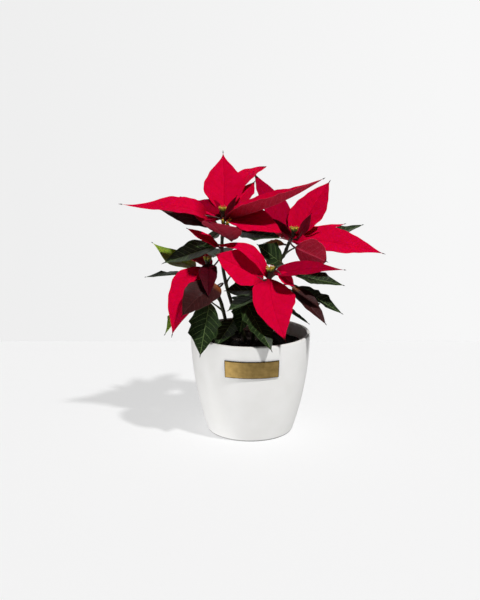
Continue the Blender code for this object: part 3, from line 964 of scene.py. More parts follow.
    def draw(self, draft: MeshDraft, foot: np.ndarray) -> None:
        """Add the blade to a mesh: one thin closed body with a different skin on each face.

        Args:
            draft: the mesh to add to.
            foot: where the blade starts, in millimetres.
        """
        t, s = self.grid()
        middle, width = self.surface(foot, t, s)
        normal = unit_rows(np.cross(np.gradient(middle, axis=1), np.gradient(middle, axis=0)))
        x = s[None] * width
        share = np.broadcast_to(t[:, None], x.shape)
        y = share * self.length
        rib = self.under_rib_depth * np.exp(-(x / self.under_rib_reach) ** 2) * (1 - share) ** 0.5
        rib *= np.clip(width / self.under_rib_width, 0, 1)
        half = self.thickness / 2 * np.clip(width / self.thin_width, self.thinnest, 1)
        points, (front, back, rim) = slab(middle + normal * half[..., None],
                                          middle - normal * (half + rib)[..., None])
        finish = [BladePart.UPPER] * len(front) + [BladePart.LOWER] * len(back) + [BladePart.UPPER] * len(rim)
        place = np.stack([x, y, share], axis=-1).reshape(-1, 3)
        edge, vein = width - np.abs(x), self.vein_count(x, y)
        draft.add(points, [*front, *back, *rim], finish, np.tile(place, (2, 1)),
                  np.tile(edge.reshape(-1), 2), np.tile(vein.reshape(-1), 2))
        self.draw_awn(draft, middle[-4:, len(s) // 2])

    def draw_awn(self, draft: MeshDraft, last: np.ndarray) -> None:
        """Add the hair-thin dry tip that the midrib runs out into.

        Args:
            draft: the mesh to add to.
            last: the midrib's last points, in millimetres.
        """
        ahead = unit(last[-1] - last[0])
        reach = self.awn_share * self.width
        line = np.array([last[-1] + ahead * reach * step - (0, 0, self.awn_droop * reach * step * step)
                         for step in self.awn_steps])
        points, faces, place = tube(line, self.awn_radius * np.array(self.awn_taper), self.awn_sides)
        place[:, 2] = 1.0
        draft.add(points, faces, BladePart.UPPER, place, self.width, 0.5)


def leaf(name: str, foot: tuple, *sizes: float, **more: object) -> Blade:
    """Describe a leaf, green with a waisted edge and two teeth unless told otherwise.

    Args:
        name: the leaf's name.
        foot: where its blade starts, in millimetres.
        *sizes: its heading, rise, length and width.
        **more: any other field of a blade.

    Returns:
        The leaf.
    """
    usual = {"teeth": (0.4, 0.62), "widest": 0.4, "fullness": 1.9, "tone": Tone.GREEN}
    return Blade(name, *sizes, foot=foot, **{**usual, **more})


@dataclass(frozen=True)
class Shoot:
    """One stem with its leaves, and the bloom at its top. What follows side_cups is the same for all."""

    name: str
    hub: tuple
    lean: tuple
    route: tuple
    cups: int
    bracts: tuple
    leaves: tuple
    side_cups: tuple = ()

    gap: float = 0.3
    stem_foot_z: float = 76.0
    stem_radii: tuple = (2.4, 1.9)
    stem_most: float = 3.1
    stem_sides: int = 18
    joint_swell: float = 0.35
    joint_reach: float = 1.8
    hub_height: float = 16.0
    hub_heights: tuple = (0, 8, 16)
    hub_radii: tuple = (2.0, 2.3, 2.9)
    hub_rings: int = 26
    scar_depth: float = 0.18
    scar_spacing: float = 3.2
    bract_depth: float = 8.0
    bract_reach: float = 2.0
    leaf_share: float = 0.3
    stalk_lift: float = 0.8
    stalk_reach: float = 0.35
    stalk_sunk: float = 2.0
    stalk_waist: float = 0.86
    stalk_foot_swell: tuple = (0.5, 0.0, 0.12)
    stalk_top_swell: tuple = (0.2, 0.82, 0.08)
    stalk_end: tuple = ((2.0, 0.8), (5.0, 0.55), (8.0, 0.3))
    stalk_sides: int = 10

    def on_hub(self, depth: float) -> np.ndarray:
        """Return the point of the hub's leaning axis at a depth under its top."""
        x, y, z = self.hub
        share = depth / self.hub_height
        return np.array((x - self.lean[0] * share, y - self.lean[1] * share, z - depth), float)

    def corners(self) -> list:
        """Return the stem's route, from the bottom of its hole to just under the hub."""
        bottom = (*self.route[0][:2], self.stem_foot_z)
        points = [np.array(point, float) for point in (bottom, *self.route)]
        return points + [self.on_hub(self.hub_height + self.gap)]

    def stem_point(self, height: float) -> np.ndarray:
        """Return the stem's middle at a height."""
        route = self.corners()
        for low, high in zip(route, route[1:]):
            if height <= high[2]:
                return low + (high - low) * (height - low[2]) / (high[2] - low[2])
        return route[-1]

    def bract_foot(self, bract: Blade) -> np.ndarray:
        """Return where a bract starts: on the hub, or at the end of a stalk of its own."""
        if bract.foot is not None:
            return np.array(bract.foot, float)
        return self.on_hub(self.bract_depth) + level(math.radians(bract.heading), self.bract_reach)

    def leaf_root(self, blade: Blade) -> np.ndarray:
        """Return where a leaf's stalk leaves the stem."""
        foot = np.array(blade.foot, float)
        reach = math.dist(self.stem_point(foot[2])[:2], foot[:2])
        height = min(foot[2] - self.leaf_share * reach, self.hub[2] - self.hub_height - self.stalk_sunk)
        return self.stem_point(height)

    def stalk(self, draft: MeshDraft, blade: Blade, root: np.ndarray, foot: np.ndarray) -> None:
        """Add the stalk of one blade, swollen where it leaves the stem.

        Args:
            draft: the mesh to add to.
            blade: the blade that the stalk carries.
            root: where the stalk starts, inside the stem.
            foot: where the blade starts.
        """
        along = blade.axes()[0]
        away = foot - root
        gap = np.linalg.norm(away)
        away[2] = 0
        lift = unit(unit(away) + (0, 0, self.stalk_lift)) * gap * self.stalk_reach
        t = np.linspace(0, 1, 18)[:, None]
        curve = (root * (1 - t) ** 3 + 3 * (root + lift) * t * (1 - t) ** 2
                 + 3 * (foot - along * gap * self.stalk_reach) * t * t * (1 - t) + foot * t ** 3)
        curve = np.concatenate([curve, [foot + along * reach for reach, _ in self.stalk_end]])
        share = np.linspace(0, 1, len(curve))
        foot_swell, top_swell = (size * np.exp(-((share - at) / spread) ** 2)
                                 for size, at, spread in (self.stalk_foot_swell, self.stalk_top_swell))
        radii = blade.stalk_radius * (self.stalk_waist + foot_swell + top_swell)
        radii[-len(self.stalk_end):] *= [taper for _, taper in self.stalk_end]
        draft.add_tube(curve, radii, self.stalk_sides, BladePart.STALK)

    def build_blade(self, blade: Blade, kind: str, finishes: Finishes) -> None:
        """Build one bract or leaf with its stalk.

        Args:
            blade: the bract or leaf.
            kind: "bract" or "leaf", for the name.
            finishes: the shared materials.
        """
        draft = MeshDraft()
        if kind == "leaf":
            node, slot = f"stem_{self.name}", "green_leaf"
            foot, root = np.array(blade.foot, float), self.leaf_root(blade)
        else:
            node, slot = f"bracts_{self.name}", "crimson_bract"
            foot, root = self.bract_foot(blade), self.on_hub(self.bract_depth + self.stalk_sunk)
        blade.draw(draft, foot)
        if blade.foot is not None:
            self.stalk(draft, blade, root, foot)
        stalk = finishes.stalk_green if blade.tone in (Tone.PALE, Tone.GREEN) else finishes.stalk_red
        draft.piece(f"{self.name}_{kind}_{blade.name}", [*finishes.skins[blade.tone], stalk], node)

    def build_stem(self, finishes: Finishes) -> None:
        """Build the stem, with a swollen joint where each leaf leaves it."""
        route = smooth_route(self.corners(), 12)
        low, high = self.stem_radii
        radii = low + (high - low) * np.linspace(0, 1, len(route))
        for blade in self.leaves:
            joint = self.leaf_root(blade)[2]
            radii += self.joint_swell * np.exp(-((route[:, 2] - joint) / self.joint_reach) ** 2)
        draft = MeshDraft()
        draft.add_tube(route, np.minimum(radii, self.stem_most), self.stem_sides, 0)
        draft.piece(f"{self.name}_stem", [finishes.stem], f"stem_{self.name}")

    def build_hub(self, finishes: Finishes) -> None:
        """Build the short green hub that the bracts spring from, ringed with their scars."""
        depths = np.linspace(self.hub_height, 0, self.hub_rings)
        route = np.array([self.on_hub(depth) for depth in depths])
        radii = np.interp(self.hub_height - depths, self.hub_heights, self.hub_radii)
        radii += self.scar_depth * np.sin(depths * 2 * math.pi / self.scar_spacing)
        draft = MeshDraft()
        draft.add_tube(route, radii, self.stem_sides, 0)
        draft.piece(f"{self.name}_hub", [finishes.hub], f"bracts_{self.name}")

    def build(self, finishes: Finishes, chance: random.Random) -> None:
        """Build the whole shoot.

        Args:
            finishes: the shared materials.
            chance: the seeded source of the cups' small differences.
        """
        self.build_stem(finishes)
        self.build_hub(finishes)
        for blade in self.leaves:
            self.build_blade(blade, "leaf", finishes)
        for bract in self.bracts:
            self.build_blade(bract, "bract", finishes)
        CupCluster(self.name, self.hub, self.cups, self.side_cups).build(finishes, chance)


@dataclass(frozen=True)
class CupCluster:
    """The small true flowers at the middle of a bloom: green cups with a yellow gland each."""

    shoot: str
    hub: tuple
    cups: int
    side_cups: tuple

    gap: float = 0.3
    cup_height: float = 5.0
    cup_radius: float = 1.75
    ring_radius: float = 2.9
    ring_wander: float = 0.2
    cup_lean: float = 0.35
    cup_low: float = 0.6
    cushion_radii: tuple = (3.2, 3.8, 2.4)
    cushion_heights: tuple = (0.0, 1.4, 2.4)
    cup_heights: tuple = (0, 0.12, 0.35, 0.6, 0.8, 0.93, 1.0)
    cup_widths: tuple = (0.5, 0.78, 1.0, 0.98, 0.84, 0.62, 0.5)
    cup_size: tuple = (0.85, 1.1)
    cup_growth: tuple = (-0.7, 1.5)
    cup_rings: int = 15
    cup_sides: int = 14
    facing_wander: float = 0.5
    gland_ring: int = 10
    gland_reach: float = 0.9
    gland_rings: int = 8
    gland_sides: int = 10
    gland_blunt: float = 0.15
    gland_radius: float = 0.9
    gland_half_width: float = 1.1
    gland_curl: float = 0.5
    stamens: int = 4
    stamen_spread: tuple = (0.3, 1.1)
    stamen_rise: tuple = (0.8, 2.0)
    stamen_sides: int = 6
    stamen_sunk: float = 0.4
    stamen_radii: tuple = (0.2, 0.2, 0.2, 0.2, 0.22, 0.34, 0.3)
    side_root_depth: float = 13.0
    side_stalk_radius: float = 0.6
    side_stalk_sides: int = 8
    cushion_rings: int = 8
    cushion_sides: int = 20

    def build(self, finishes: Finishes, chance: random.Random) -> None:
        """Build the cushion, the cups, their glands and stamens as one piece.

        Args:
            finishes: the shared materials.
            chance: the seeded source of small differences, in the CAD's own order.
        """
        base = np.array(self.hub, float) + (0, 0, self.gap)
        draft = MeshDraft()
        steps = np.linspace(0, self.cushion_heights[-1], self.cushion_rings)
        radii = np.interp(steps, self.cushion_heights, self.cushion_radii)
        route = np.array([base + (0, 0, z) for z in steps])
        draft.add_tube(route, radii, self.cushion_sides, CupPart.CUSHION)
        for at in range(self.cups):
            turn = 2 * math.pi * at / (self.cups - 1)
            reach = 0.0
            if at < self.cups - 1:
                reach = self.ring_radius + chance.uniform(-self.ring_wander, self.ring_wander)
            away = level(turn, reach)
            low = base + away * (1 - self.cup_lean / 2) + (0, 0, self.cup_low)
            height = self.cup_height * chance.uniform(*self.cup_size)
            self.draw_cup(draft, low, away, height, turn, at)
        for at, low in enumerate(self.side_cups, self.cups):
            self.draw_side_cup(draft, np.array(low, float), at)
        materials = [finishes.cup, finishes.gland, finishes.thread, finishes.hub]
        draft.piece(f"{self.shoot}_cups", materials, f"flowers_{self.shoot}")

    def draw_side_cup(self, draft: MeshDraft, low: np.ndarray, at: int) -> None:
        """Add one cup that stands on a thin stalk of its own beside the hub.

        Args:
            draft: the mesh to add to.
            low: the middle of the cup's foot.
            at: the cup's number.
        """
        root = np.array(self.hub, float) - (0, 0, self.side_root_depth)
        away = low - root
        away[2] = 0
        line = smooth_route([root, root + away * 0.6 + (0, 0, 0.5), low + (0, 0, 0.4)], 5)
        radii = np.full(len(line), self.side_stalk_radius)
        draft.add_tube(line, radii, self.side_stalk_sides, CupPart.CUP)
        turn = math.atan2(away[1], away[0])
        self.draw_cup(draft, low, unit(away) * self.cup_radius, self.cup_height, turn, at)

    def draw_cup(self, draft: MeshDraft, low: np.ndarray, away: np.ndarray, height: float, turn: float,
                 at: int) -> None:
        """Add one cup with its gland and a few stamens.

        Args:
            draft: the mesh to add to.
            low: the middle of the cup's foot.
            away: how far the cup stands from the middle of the cluster, and which way it leans.
            height: the cup's height.
            turn: the cup's place in the ring, in radians.
            at: the cup's number.
        """
        chance = random.Random(f"{self.shoot} cup {at}")
        height += chance.uniform(*self.cup_growth)
        known = range(len(self.cup_heights))
        steps = np.linspace(0, known[-1], self.cup_rings)
        route = np.array([low + away * self.cup_lean * share + (0, 0, height * share)
                          for share in np.interp(steps, known, self.cup_heights)])
        radii = self.cup_radius * np.interp(steps, known, self.cup_widths)
        draft.add_tube(route, radii, self.cup_sides, CupPart.CUP)
        out = level(turn + chance.uniform(-self.facing_wander, self.facing_wander))
        side = np.array((-out[1], out[0], 0.0))
        middle = route[self.gland_ring] + out * self.cup_radius * self.gland_reach
        turns = np.linspace(self.gland_blunt, math.pi - self.gland_blunt, self.gland_rings)
        swell = np.sin(turns) ** 0.7 * self.gland_radius
        lip = np.array([middle + side * self.gland_half_width * v + (0, 0, self.gland_curl * v * v)
                        for v in np.linspace(-1, 1, self.gland_rings)])
        draft.add_tube(lip, swell, self.gland_sides, CupPart.GLAND)
        mouth = route[-1]
        for _ in range(self.stamens):
            bend = chance.uniform(0, 2 * math.pi)
            spread = level(bend, chance.uniform(*self.stamen_spread))
            tip = mouth + spread + (0, 0, chance.uniform(*self.stamen_rise))
            line = smooth_route([mouth - (0, 0, self.stamen_sunk), mouth + (tip - mouth) * 0.5, tip], 3)
            draft.add_tube(line, np.array(self.stamen_radii), self.stamen_sides, CupPart.THREAD)


# The deep, wine and dusk bract tones are darkened as painted shade, and the whitened leaf tone is painted
# backlight.
UPPER = Shoot(
    name="upper",
    hub=(-33, -5, 268),
    lean=(-1, -1),
    side_cups=((-33, -13, 255), (-28, -14, 253), (-25, -11, 256)),
    route=((-6, 5, 108), (-12, 4, 128), (-25, 1, 164), (-33, 0, 200), (-34, -3, 232)),
    cups=8,
    bracts=(
        Blade("back_tall", 91, 50, 97, 50, fullness=3.6, widest=0.47, arch=-2, sway=1),
        Blade("long_left", 190, 9, 100, 48, foot=(-52, -8, 264), roll=-20, fold=6, widest=0.18,
              fullness=1.9, arch=5, hook=3),
        Blade("small_left", 150, 20, 48, 34, roll=-45, tone=Tone.DEEP),
        Blade("sliver", 350, 62, 30, 9, foot=(-30, -12, 262), roll=60, tone=Tone.WINE),
        Blade("long_right", 349, 23, 125, 40, roll=5, fold=38, arch=-6, widest=0.34, fullness=1.8),
        Blade("low_right", 343, -11.5, 72, 44, roll=28, sway=-6, widest=0.4),
        Blade("front_low", 243, 28, 60, 48, foot=(-23, -10, 235), roll=-4, widest=0.5, fullness=1.8,
              tone=Tone.DEEP),
        Blade("curled_back", 56, 36, 101, 28, foot=(-26, 14, 256), arch=15, sway=-5, widest=0.66),
        Blade("rear_left", 138, 17, 72, 34),
        Blade("rear_middle", 110, 13, 70, 34),
        Blade("rear_right", 58, 29, 80, 37),
    ),
    leaves=(
        leaf("maroon_left", (-38, -2, 251), 168, 14, 74, 27, roll=-36, teeth=(), fullness=2.0,
             tone=Tone.MAROON),
        leaf("behind_left", (-36, 12, 243), 205, -35, 30, 26, teeth=()),
        leaf("under_right", (-24, 4, 246), 333, -5, 66, 36, roll=20),
        leaf("broad_left", (-39, -3, 229), 191, -17, 68, 42, roll=-18, teeth=()),
        leaf("low_left", (-20, -20, 142), 238, -32, 44, 32),
        leaf("low_front", (-6, -25, 167), 252, -57, 42, 24),
        leaf("rear_high", (-38, 22, 220), 98, -18, 72, 44),
        leaf("rear_low", (-16, 20, 190), 62, -38, 70, 42, teeth=()),
    ),
)

RIGHT = Shoot(
    name="right",
    hub=(52, 10, 242),
    lean=(7, -1),
    route=((4, 25, 108), (13, 21, 157), (31, 15, 200), (40, 11, 214)),
    cups=7,
    bracts=(
        Blade("back_right", 37, 48, 88, 46, roll=20, widest=0.42),
        Blade("back_left", 131, 49, 99, 52, roll=10, tone=Tone.DEEP),
        Blade("back_middle", 74, 40, 60, 34, tone=Tone.DEEP),
        Blade("sliver", 30, 58, 32, 11, foot=(58, 5, 237), roll=60, tone=Tone.WINE),
        Blade("narrow_left", 190, 44, 36, 14, foot=(49, 2, 236), roll=-60, tone=Tone.WINE),
        Blade("long_right", 352, -8, 109, 46, roll=32, arch=5, widest=0.38),
        Blade("side_right", 31, 9, 80, 34),
        Blade("front_low", 346, -22, 40, 38, foot=(52, -17, 228), roll=-76, widest=0.5, fullness=1.6),
        Blade("small_front", 330, -6, 26, 14, roll=50),
        Blade("rear_left", 110, -2, 76, 38),
        Blade("rear_right", 80, -14, 74, 32),
    ),
    leaves=(
        leaf("right_high", (50, -5, 194), 351, -11, 62, 26, roll=20),
        leaf("right_middle", (58, 10, 175), 356, -31, 63, 30, roll=15),
        leaf("right_low", (42, 10, 149), 0, -34, 36, 22),
        leaf("right_far", (86, 40, 228), 18, 16, 60, 30, roll=8),
        leaf("left_pale", (42, 24, 225), 188, 5, 26, 18, roll=-12, tone=Tone.BLEACHED),
        leaf("left_upright", (37, -3, 207), 195, 38, 38, 30, roll=-55, teeth=(0.5,)),
        leaf("rear_high", (46, 44, 196), 76, -22, 74, 44),
        leaf("rear_low", (52, 34, 165), 42, -36, 60, 38),
    ),
)

FRONT = Shoot(
    name="front",
    hub=(22, -35, 202),
    lean=(2, -5),
    route=((3, 10, 108), (6, 8, 134), (14, -10, 162), (20, -29, 177)),
    cups=6,
    bracts=(
        Blade("front_drop", 295, -58, 75, 54, sway=6, widest=0.36, fullness=2.0, arch=3),
        Blade("broad_left", 182, 29, 62, 46, foot=(14, -41, 194), roll=-50, fullness=1.8),
        Blade("arched_left", 170, 32, 70, 24, roll=-25, arch=18),
        Blade("long_right", 351, 5, 81, 31, foot=(27, -35, 200), roll=24, widest=0.3, arch=4,
              tone=Tone.DEEP),
        Blade("small_right", 337, -38, 26, 15, foot=(31, -42, 204), roll=40),
        Blade("sliver", 125, 30, 28, 8, tone=Tone.WINE),
    ),
    leaves=(
        leaf("low_right", (-7, -40, 170), 307, -45, 70, 36),
        leaf("maroon_right", (50, -12, 180), 318, -37, 62, 30, teeth=(), tone=Tone.MAROON),
        leaf("rear_high", (-1, 26, 160), 92, -28, 60, 38),
        leaf("low_left", (10, -40, 176), 210, -18, 44, 32),
        leaf("small_left", (6, -38, 181), 188, 1, 36, 30, roll=-25),
    ),
)

LEFT = Shoot(
    name="left",
    hub=(-51, -17, 211),
    lean=(-4, -3),
    route=((-25, 5, 108), (-29, 3, 129), (-36, -3, 160), (-45, -13, 184)),
    cups=6,
    bracts=(
        Blade("front_drop", 223, -52, 90, 46, arch=12, widest=0.36, roll=-32, sway=4),
        Blade("short_front", 272, -31, 56, 22, arch=7, foot=(-50, -20, 209), tone=Tone.DUSK),
        Blade("narrow_left", 186, 31, 44, 18, foot=(-37, -14, 228), roll=-30),
        Blade("rear_small", 115, 14, 52, 26),
    ),
    leaves=(
        leaf("maroon_front", (-36, -46, 187), 207, -31, 55, 42, roll=-30, arch=9, widest=0.42, teeth=(),
             tone=Tone.MAROON),
        leaf("pale_left", (-66, 10, 199), 146, 20, 72, 30, arch=-5, roll=-25, teeth=(),
             fullness=2.6, widest=0.36, tone=Tone.PALE),
        leaf("far_left", (-84, 10, 192), 162, -9, 48, 20, roll=-6),
        leaf("hanging_left", (-76, 5, 160), 199, -54, 50, 30, tone=Tone.PALE),
        leaf("low_front", (-48, -45, 168), 246, -66, 62, 36),
        leaf("rear_high", (-55, 18, 178), 122, -28, 62, 40),
    ),
)

SHOOTS = (UPPER, RIGHT, FRONT, LEFT)
CUP_SEED = 12


# The pot and what fills it

@dataclass(frozen=True)
class Pot:
    """The glazed pot: a flared wall with a round lip and a flat foot.

    The foot's painted contact shade is given by how strong it is at the table, and the height over which it
    loses one.
    """

    height: float = 122.4
    rim_radius: float = 72.5
    foot_radius: float = 52.3
    wall: float = 3.8
    floor: float = 6.0
    chamfer: float = 1.2
    sides: int = 192
    chamfer_rings: int = 7
    outer_rings: int = 46
    lip_rings: int = 15
    inner_rings: int = 30
    stain: tuple = (1.7, 0.9)

    def radius(self, height: float | np.ndarray) -> float | np.ndarray:
        """Return the outer radius at a height."""
        return self.rim_radius - (self.rim_radius - self.foot_radius) * (1 - height / self.height) ** 2

    def build(self, finishes: Finishes) -> None:
        """Turn the pot from one fine profile."""
        lip = self.wall / 2
        shoulder = self.height - lip
        edge = [(self.foot_radius - self.chamfer + self.chamfer * math.sin(turn),
                 self.chamfer * (1 - math.cos(turn)))
                for turn in np.linspace(0, math.pi / 2, self.chamfer_rings)]
        outer = [(self.radius(z), z) for z in np.linspace(self.chamfer + 1, shoulder, self.outer_rings)]
        middle = self.radius(shoulder) - lip
        rounded = [(middle + lip * math.cos(turn), shoulder + lip * math.sin(turn))
                   for turn in np.linspace(0, math.pi, self.lip_rings)[1:-1]]
        inner = [(self.radius(z) - self.wall, z)
                 for z in np.linspace(shoulder, self.floor, self.inner_rings)]
        profile = np.array([(0, 0), *edge, *outer, *rounded, *inner, (0, self.floor)])
        points, faces, place = turned(profile, self.sides)
        z = place[:, 1]
        draft = MeshDraft()
        # The last values paint shade on the foot where it meets the table, gone about 1.5 mm up.
        draft.add(points, faces, 0, place, np.minimum(np.abs(z - self.height), np.abs(z)),
                  np.clip(self.stain[0] - z / self.stain[1], 0, 1))
        draft.piece("pot_shell", [finishes.glaze], "pot", sharp=40)


@dataclass(frozen=True)
class Plate:
    """The blank plate, bent to the wall, with softly broken edges."""

    pot: Pot
    width: float = 64.0
    height: float = 20.5
    thickness: float = 1.0
    middle_z: float = 94.6
    middle_x: float = 1.0
    gap: float = 0.4
    broken_edge: float = 0.7
    broken_depth: float = 0.4
    columns: int = 90
    rows: int = 30

    def build(self, finishes: Finishes) -> None:
        """Build the plate as a fine bent slab."""
        across, up = np.meshgrid(*((1 - np.cos(np.linspace(0, math.pi, count))) / 2
                                   for count in (self.columns, self.rows)))
        to_edge = np.minimum(np.minimum(across, 1 - across) * self.width,
                             np.minimum(up, 1 - up) * self.height)
        middle_radius = self.pot.radius(self.middle_z)
        turn = self.width / middle_radius
        angle = -math.pi / 2 + self.middle_x / middle_radius - turn / 2 + turn * across
        z = self.middle_z + self.height * (up - 0.5)
        broken = self.broken_depth * np.clip(1 - to_edge / self.broken_edge, 0, 1) ** 2
        layers = []
        for depth in (self.gap + self.thickness - broken, self.gap):
            radius = self.pot.radius(z) + depth
            layers.append(np.stack([radius * np.cos(angle), radius * np.sin(angle), z], axis=-1))
        points, (front, back, rim) = slab(*layers)
        place = np.stack([across * self.width, up * self.height, 0 * up], axis=-1).reshape(-1, 3)
        edge = np.concatenate([to_edge, 0 * to_edge]).reshape(-1)
        draft = MeshDraft()
        draft.add(points, [*front, *back, *rim], 0, np.tile(place, (2, 1)), edge)
        draft.piece("plate_blank", [finishes.brass], "plate")


def grain_form() -> tuple[np.ndarray, list]:
    """Make the form that the grains are bent from: twelve corners with twenty faces.

    Returns:
        The corners, one unit from the middle, and the faces.
    """
    golden = (1 + math.sqrt(5)) / 2
    signs = [(a, b) for a in (-1, 1) for b in (-1, 1)]
    corners = np.array([(a, b * golden, 0) for a, b in signs] + [(0, a, b * golden) for a, b in signs]
                       + [(a * golden, 0, b) for a, b in signs])
    corners /= np.linalg.norm(corners[0])
    longest_edge = 1.06
    faces = []
    for triple in combinations(range(12), 3):
        if all(math.dist(corners[p], corners[q]) < longest_edge for p, q in combinations(triple, 2)):
            i, j, k = triple
            outward = np.dot(np.cross(corners[j] - corners[i], corners[k] - corners[i]), corners[i])
            faces.append((i, j, k) if outward > 0 else (i, k, j))
    return corners, faces


@dataclass(frozen=True)
class Peat:
    """The growing medium: a rough mound of milled peat with crumbs and a little perlite on it.

    The crumbs and the perlite give the number of grains, their smallest and largest radius, and the seed
    of their places.
    """

    pot: Pot
    gap: float = 0.3
    top: float = 105.0
    mound: float = 1.5
    mound_share: float = 0.6
    roughness: float = 1.3
    crumbs: tuple = (700, (0.5, 1.7), 5)
    perlite: tuple = (46, (0.5, 1.1), 9)
    sides: int = 160
    rings: int = 60
    spread: float = 0.97
    lumps: tuple = (0.65, 1.2)
    breadth: tuple = (0.5, 1.0)
    flatness: tuple = (0.45, 0.8)
    standing: float = 0.25

    def height(self, x: float, y: float, radius: float) -> float:
        """Work out the rough surface's height: a mound with waves from lumps down to crumbs.

        Args:
            x: the place along X, in millimetres.
            y: the place along Y.
            radius: the radius of the peat's surface.

        Returns:
            The height there.
        """
        reach = math.hypot(x, y) / radius
        plain = self.top + self.mound * min(1.0, (1 - reach) / (1 - self.mound_share))
        rough = (math.sin(x * 0.31 + 1.3) * math.cos(y * 0.27 + 0.4) * 0.5
                 + math.sin(x * 0.83 - y * 0.6) * 0.25 + math.cos(x * 1.7 + y * 1.9) * 0.12
                 + math.sin(x * 3.1 - y * 2.3) * 0.08)
        return plain + self.roughness * rough * min(1.0, (1 - reach) * 8)

    def build(self, finishes: Finishes) -> None:
        """Build the mound, then scatter the crumbs and the perlite on it."""
        bottom = self.pot.floor + self.gap
        side = [(self.pot.radius(z) - self.pot.wall - self.gap, z) for z in np.linspace(bottom, self.top, 8)]
        radius = side[-1][0]
        rings = [(radius * share, self.top) for share in np.linspace(1, 0, self.rings)[1:-1]]
        points, faces, place = turned(np.array([(0, bottom), *side, *rings, (0, self.top)]), self.sides)
        for point in points:
            if point[2] >= self.top - 1e-6:
                point[2] = self.height(point[0], point[1], radius)
        draft = MeshDraft()
        draft.add(points, faces, 0, place)
        draft.piece("peat_mound", [finishes.peat], "soil")
        self.scatter("peat_crumbs", finishes.peat, radius, *self.crumbs)
        self.scatter("perlite_grains", finishes.perlite, radius, *self.perlite)

    def scatter(self, name: str, finish: bpy.types.Material, radius: float, count: int, sizes: tuple,
                seed: int) -> None:
        """Scatter small rough grains on the mound.

        Args:
            name: the piece's name.
            finish: their material.
            radius: the radius of the peat's surface.
            count: how many grains.
            sizes: the smallest and largest grain radius, in millimetres.
            seed: the seed of their places.
        """
        chance = random.Random(seed)
        corners, faces = grain_form()
        draft = MeshDraft()
        for _ in range(count):
            reach = radius * self.spread * math.sqrt(chance.random())
            centre = level(chance.uniform(0, 2 * math.pi), reach)
            size = chance.uniform(*sizes)
            shape = np.array([corner * chance.uniform(*self.lumps) for corner in corners])
            shape *= (size, size * chance.uniform(*self.breadth), size * chance.uniform(*self.flatness))
            spin = chance.uniform(0, math.pi)
            cos, sin = math.cos(spin), math.sin(spin)
            shape = shape @ np.array([(cos, sin, 0), (-sin, cos, 0), (0, 0, 1)])
            centre[2] = self.height(centre[0], centre[1], radius) + self.standing * size
            draft.add(shape + centre, faces, 0, shape)
        draft.piece(name, [finish], "soil", sharp=30)


# The studio

@dataclass(frozen=True)
class Paper:
    """Matt paper that glows a little, brightened towards the right of the view by painted light.

    The tones are those at the left and the right of the view, reached half_view metres from its middle.
    """

    name: str
    tones: tuple
    half_view: float
    albedo: float
    glow: float

    def material(self) -> bpy.types.Material:
        """Build the material, which reads object coordinates.

        Returns:
            The material.
        """
        draft = MaterialDraft(self.name)
        share = draft.ramp(draft.parts(draft.object_place())["X"], (-self.half_view, self.half_view))
        return draft.finish({
            # The glow's rise towards the right of the view is painted light.
            "Emission Color": draft.mix(share, *self.tones),
            "Emission Strength": self.glow,
            "Base Color": (self.albedo, self.albedo, self.albedo, 1),
            "Roughness": 0.9,
            "Specular IOR Level": 0.0,
        })


@dataclass(frozen=True)
class Lamp:
    """A distant lamp: the way to it from the plant, its strength and how wide it looks in degrees.

    A lamp that is for shine only shows on waxy surfaces and lights nothing else.
    """

    name: str
    direction: tuple
    strength: float
    angle: float
    shine_only: bool = False

    def build(self) -> None:
        """Hang the lamp."""
        lamp = bpy.data.lights.new(self.name, "SUN")
        lamp.energy = self.strength
        lamp.angle = math.radians(self.angle)
        holder = bpy.data.objects.new(self.name, lamp)
        holder.rotation_euler = Vector(self.direction).to_track_quat("Z", "Y").to_euler()
        holder.visible_diffuse = not self.shine_only
        bpy.context.scene.collection.objects.link(holder)


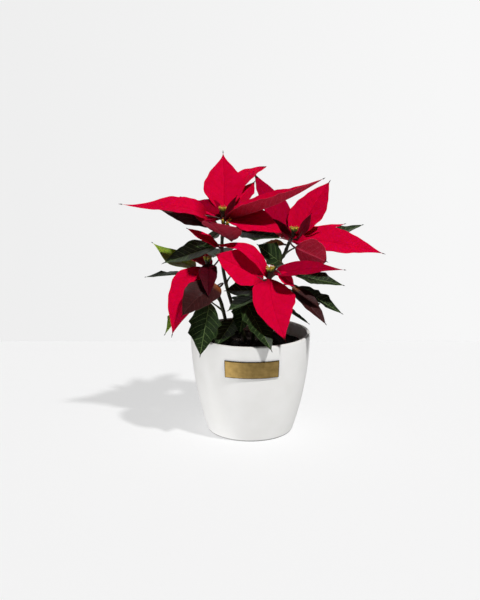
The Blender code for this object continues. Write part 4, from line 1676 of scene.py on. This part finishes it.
@dataclass(frozen=True)
class Studio:
    """The pale table, the even backdrop, the lights and the camera. None of it is the object."""

    table_back: float = 0.395
    table_reach: float = 3.0
    table_paper: Paper = Paper("table_paper_white", ("F3F3F3", "F7F7F7"), 0.35, 0.27, 0.72)
    backdrop_radius: float = 9.0
    backdrop_rings: int = 17
    backdrop_sides: int = 32
    backdrop_paper: Paper = Paper("backdrop_paper_white", ("EFEFEF", "F7F7F7"), 2.4, 0.0, 1.0)
    camera_place: tuple = (-0.0127, -1.0, 0.387)
    camera_tilt: float = 77.27
    camera_lens: float = 50.9
    camera_sensor: float = 36.0
    camera_near: float = 0.01
    lamps: tuple = (Lamp("key", (0.40, -0.42, 1.0), 3.15, 3.5),
                    Lamp("left_soft", (-0.9, -0.4, -0.42), 1.6, 76.0),
                    Lamp("right_soft", (0.98, -0.17, -0.35), 0.24, 60.0),
                    Lamp("back_shine", (-0.35, 0.85, 0.45), 0.7, 60.0, shine_only=True))
    sky_strength: float = 0.04
    ground_strength: float = 1.3
    ground_span: tuple = (-0.9, -0.1)

    def build(self) -> None:
        """Set up table, backdrop, lights and camera."""
        self.build_table()
        self.build_backdrop()
        for lamp in self.lamps:
            lamp.build()
        self.build_room()
        self.build_camera()

    def build_camera(self) -> None:
        """Set up the camera and how its picture is shown."""
        scene = bpy.context.scene
        scene.view_settings.view_transform = "Standard"
        scene.view_settings.look = "None"
        camera = bpy.data.cameras.new("camera")
        camera.lens = self.camera_lens
        camera.sensor_width = self.camera_sensor
        camera.clip_start = self.camera_near
        holder = bpy.data.objects.new("camera", camera)
        holder.location = self.camera_place
        holder.rotation_euler = (math.radians(self.camera_tilt), 0, 0)
        scene.collection.objects.link(holder)
        scene.camera = holder

    def hang(self, name: str, points: list, faces: list, paper: Paper) -> bpy.types.Object:
        """Hang a sheet of paper that casts no shadow and sends no light on to the object.

        Args:
            name: the sheet's name.
            points: its points, in metres.
            faces: its faces.
            paper: what it is made of.

        Returns:
            The sheet.
        """
        mesh = bpy.data.meshes.new(name)
        mesh.from_pydata(points, [], faces)
        mesh.materials.append(paper.material())
        sheet = bpy.data.objects.new(name, mesh)
        sheet.visible_diffuse = False
        sheet.visible_glossy = False
        sheet.visible_shadow = False
        bpy.context.scene.collection.objects.link(sheet)
        return sheet

    def build_table(self) -> None:
        """Lay the table, whose far edge is the faint line behind the pot."""
        reach, back = self.table_reach, self.table_back
        corners = [(-reach, -reach, 0), (reach, -reach, 0), (reach, back, 0), (-reach, back, 0)]
        self.hang("table", corners, [(0, 1, 2, 3)], self.table_paper)

    def build_backdrop(self) -> None:
        """Hang an even backdrop all round, which only the camera sees."""
        radius = self.backdrop_radius
        profile = np.array([(radius * math.sin(turn), -radius * math.cos(turn))
                            for turn in np.linspace(0, math.pi, self.backdrop_rings)])
        points, faces, _ = turned(profile, self.backdrop_sides)
        backdrop = self.hang("backdrop", points.tolist(), faces, self.backdrop_paper)
        backdrop.visible_transmission = False

    def build_room(self) -> None:
        """Let the room's own light come from below, as off the table around the pot."""
        world = bpy.data.worlds.new("room")
        world.use_nodes = True
        tree = world.node_tree
        where = add_node(tree, "TexCoord", {}).outputs["Generated"]
        height = add_node(tree, "SeparateXYZ", {0: where}).outputs["Z"]
        strength = add_node(tree, "MapRange", {0: height, 1: self.ground_span[0], 2: self.ground_span[1],
                                               3: self.ground_strength, 4: self.sky_strength})
        feed(tree, tree.nodes["Background"], {"Color": (1, 1, 1, 1), "Strength": strength.outputs[0]})
        bpy.context.scene.world = world


def main() -> None:
    """Build the pot, what fills it, the four shoots and the studio."""
    logging.basicConfig(level=logging.INFO, format="%(message)s")
    finishes = Finishes()
    pot = Pot()
    pot.build(finishes)
    Plate(pot).build(finishes)
    Peat(pot).build(finishes)
    chance = random.Random(CUP_SEED)
    for shoot in SHOOTS:
        shoot.build(finishes, chance)
    Studio().build()


if __name__ == "__main__":
    main()
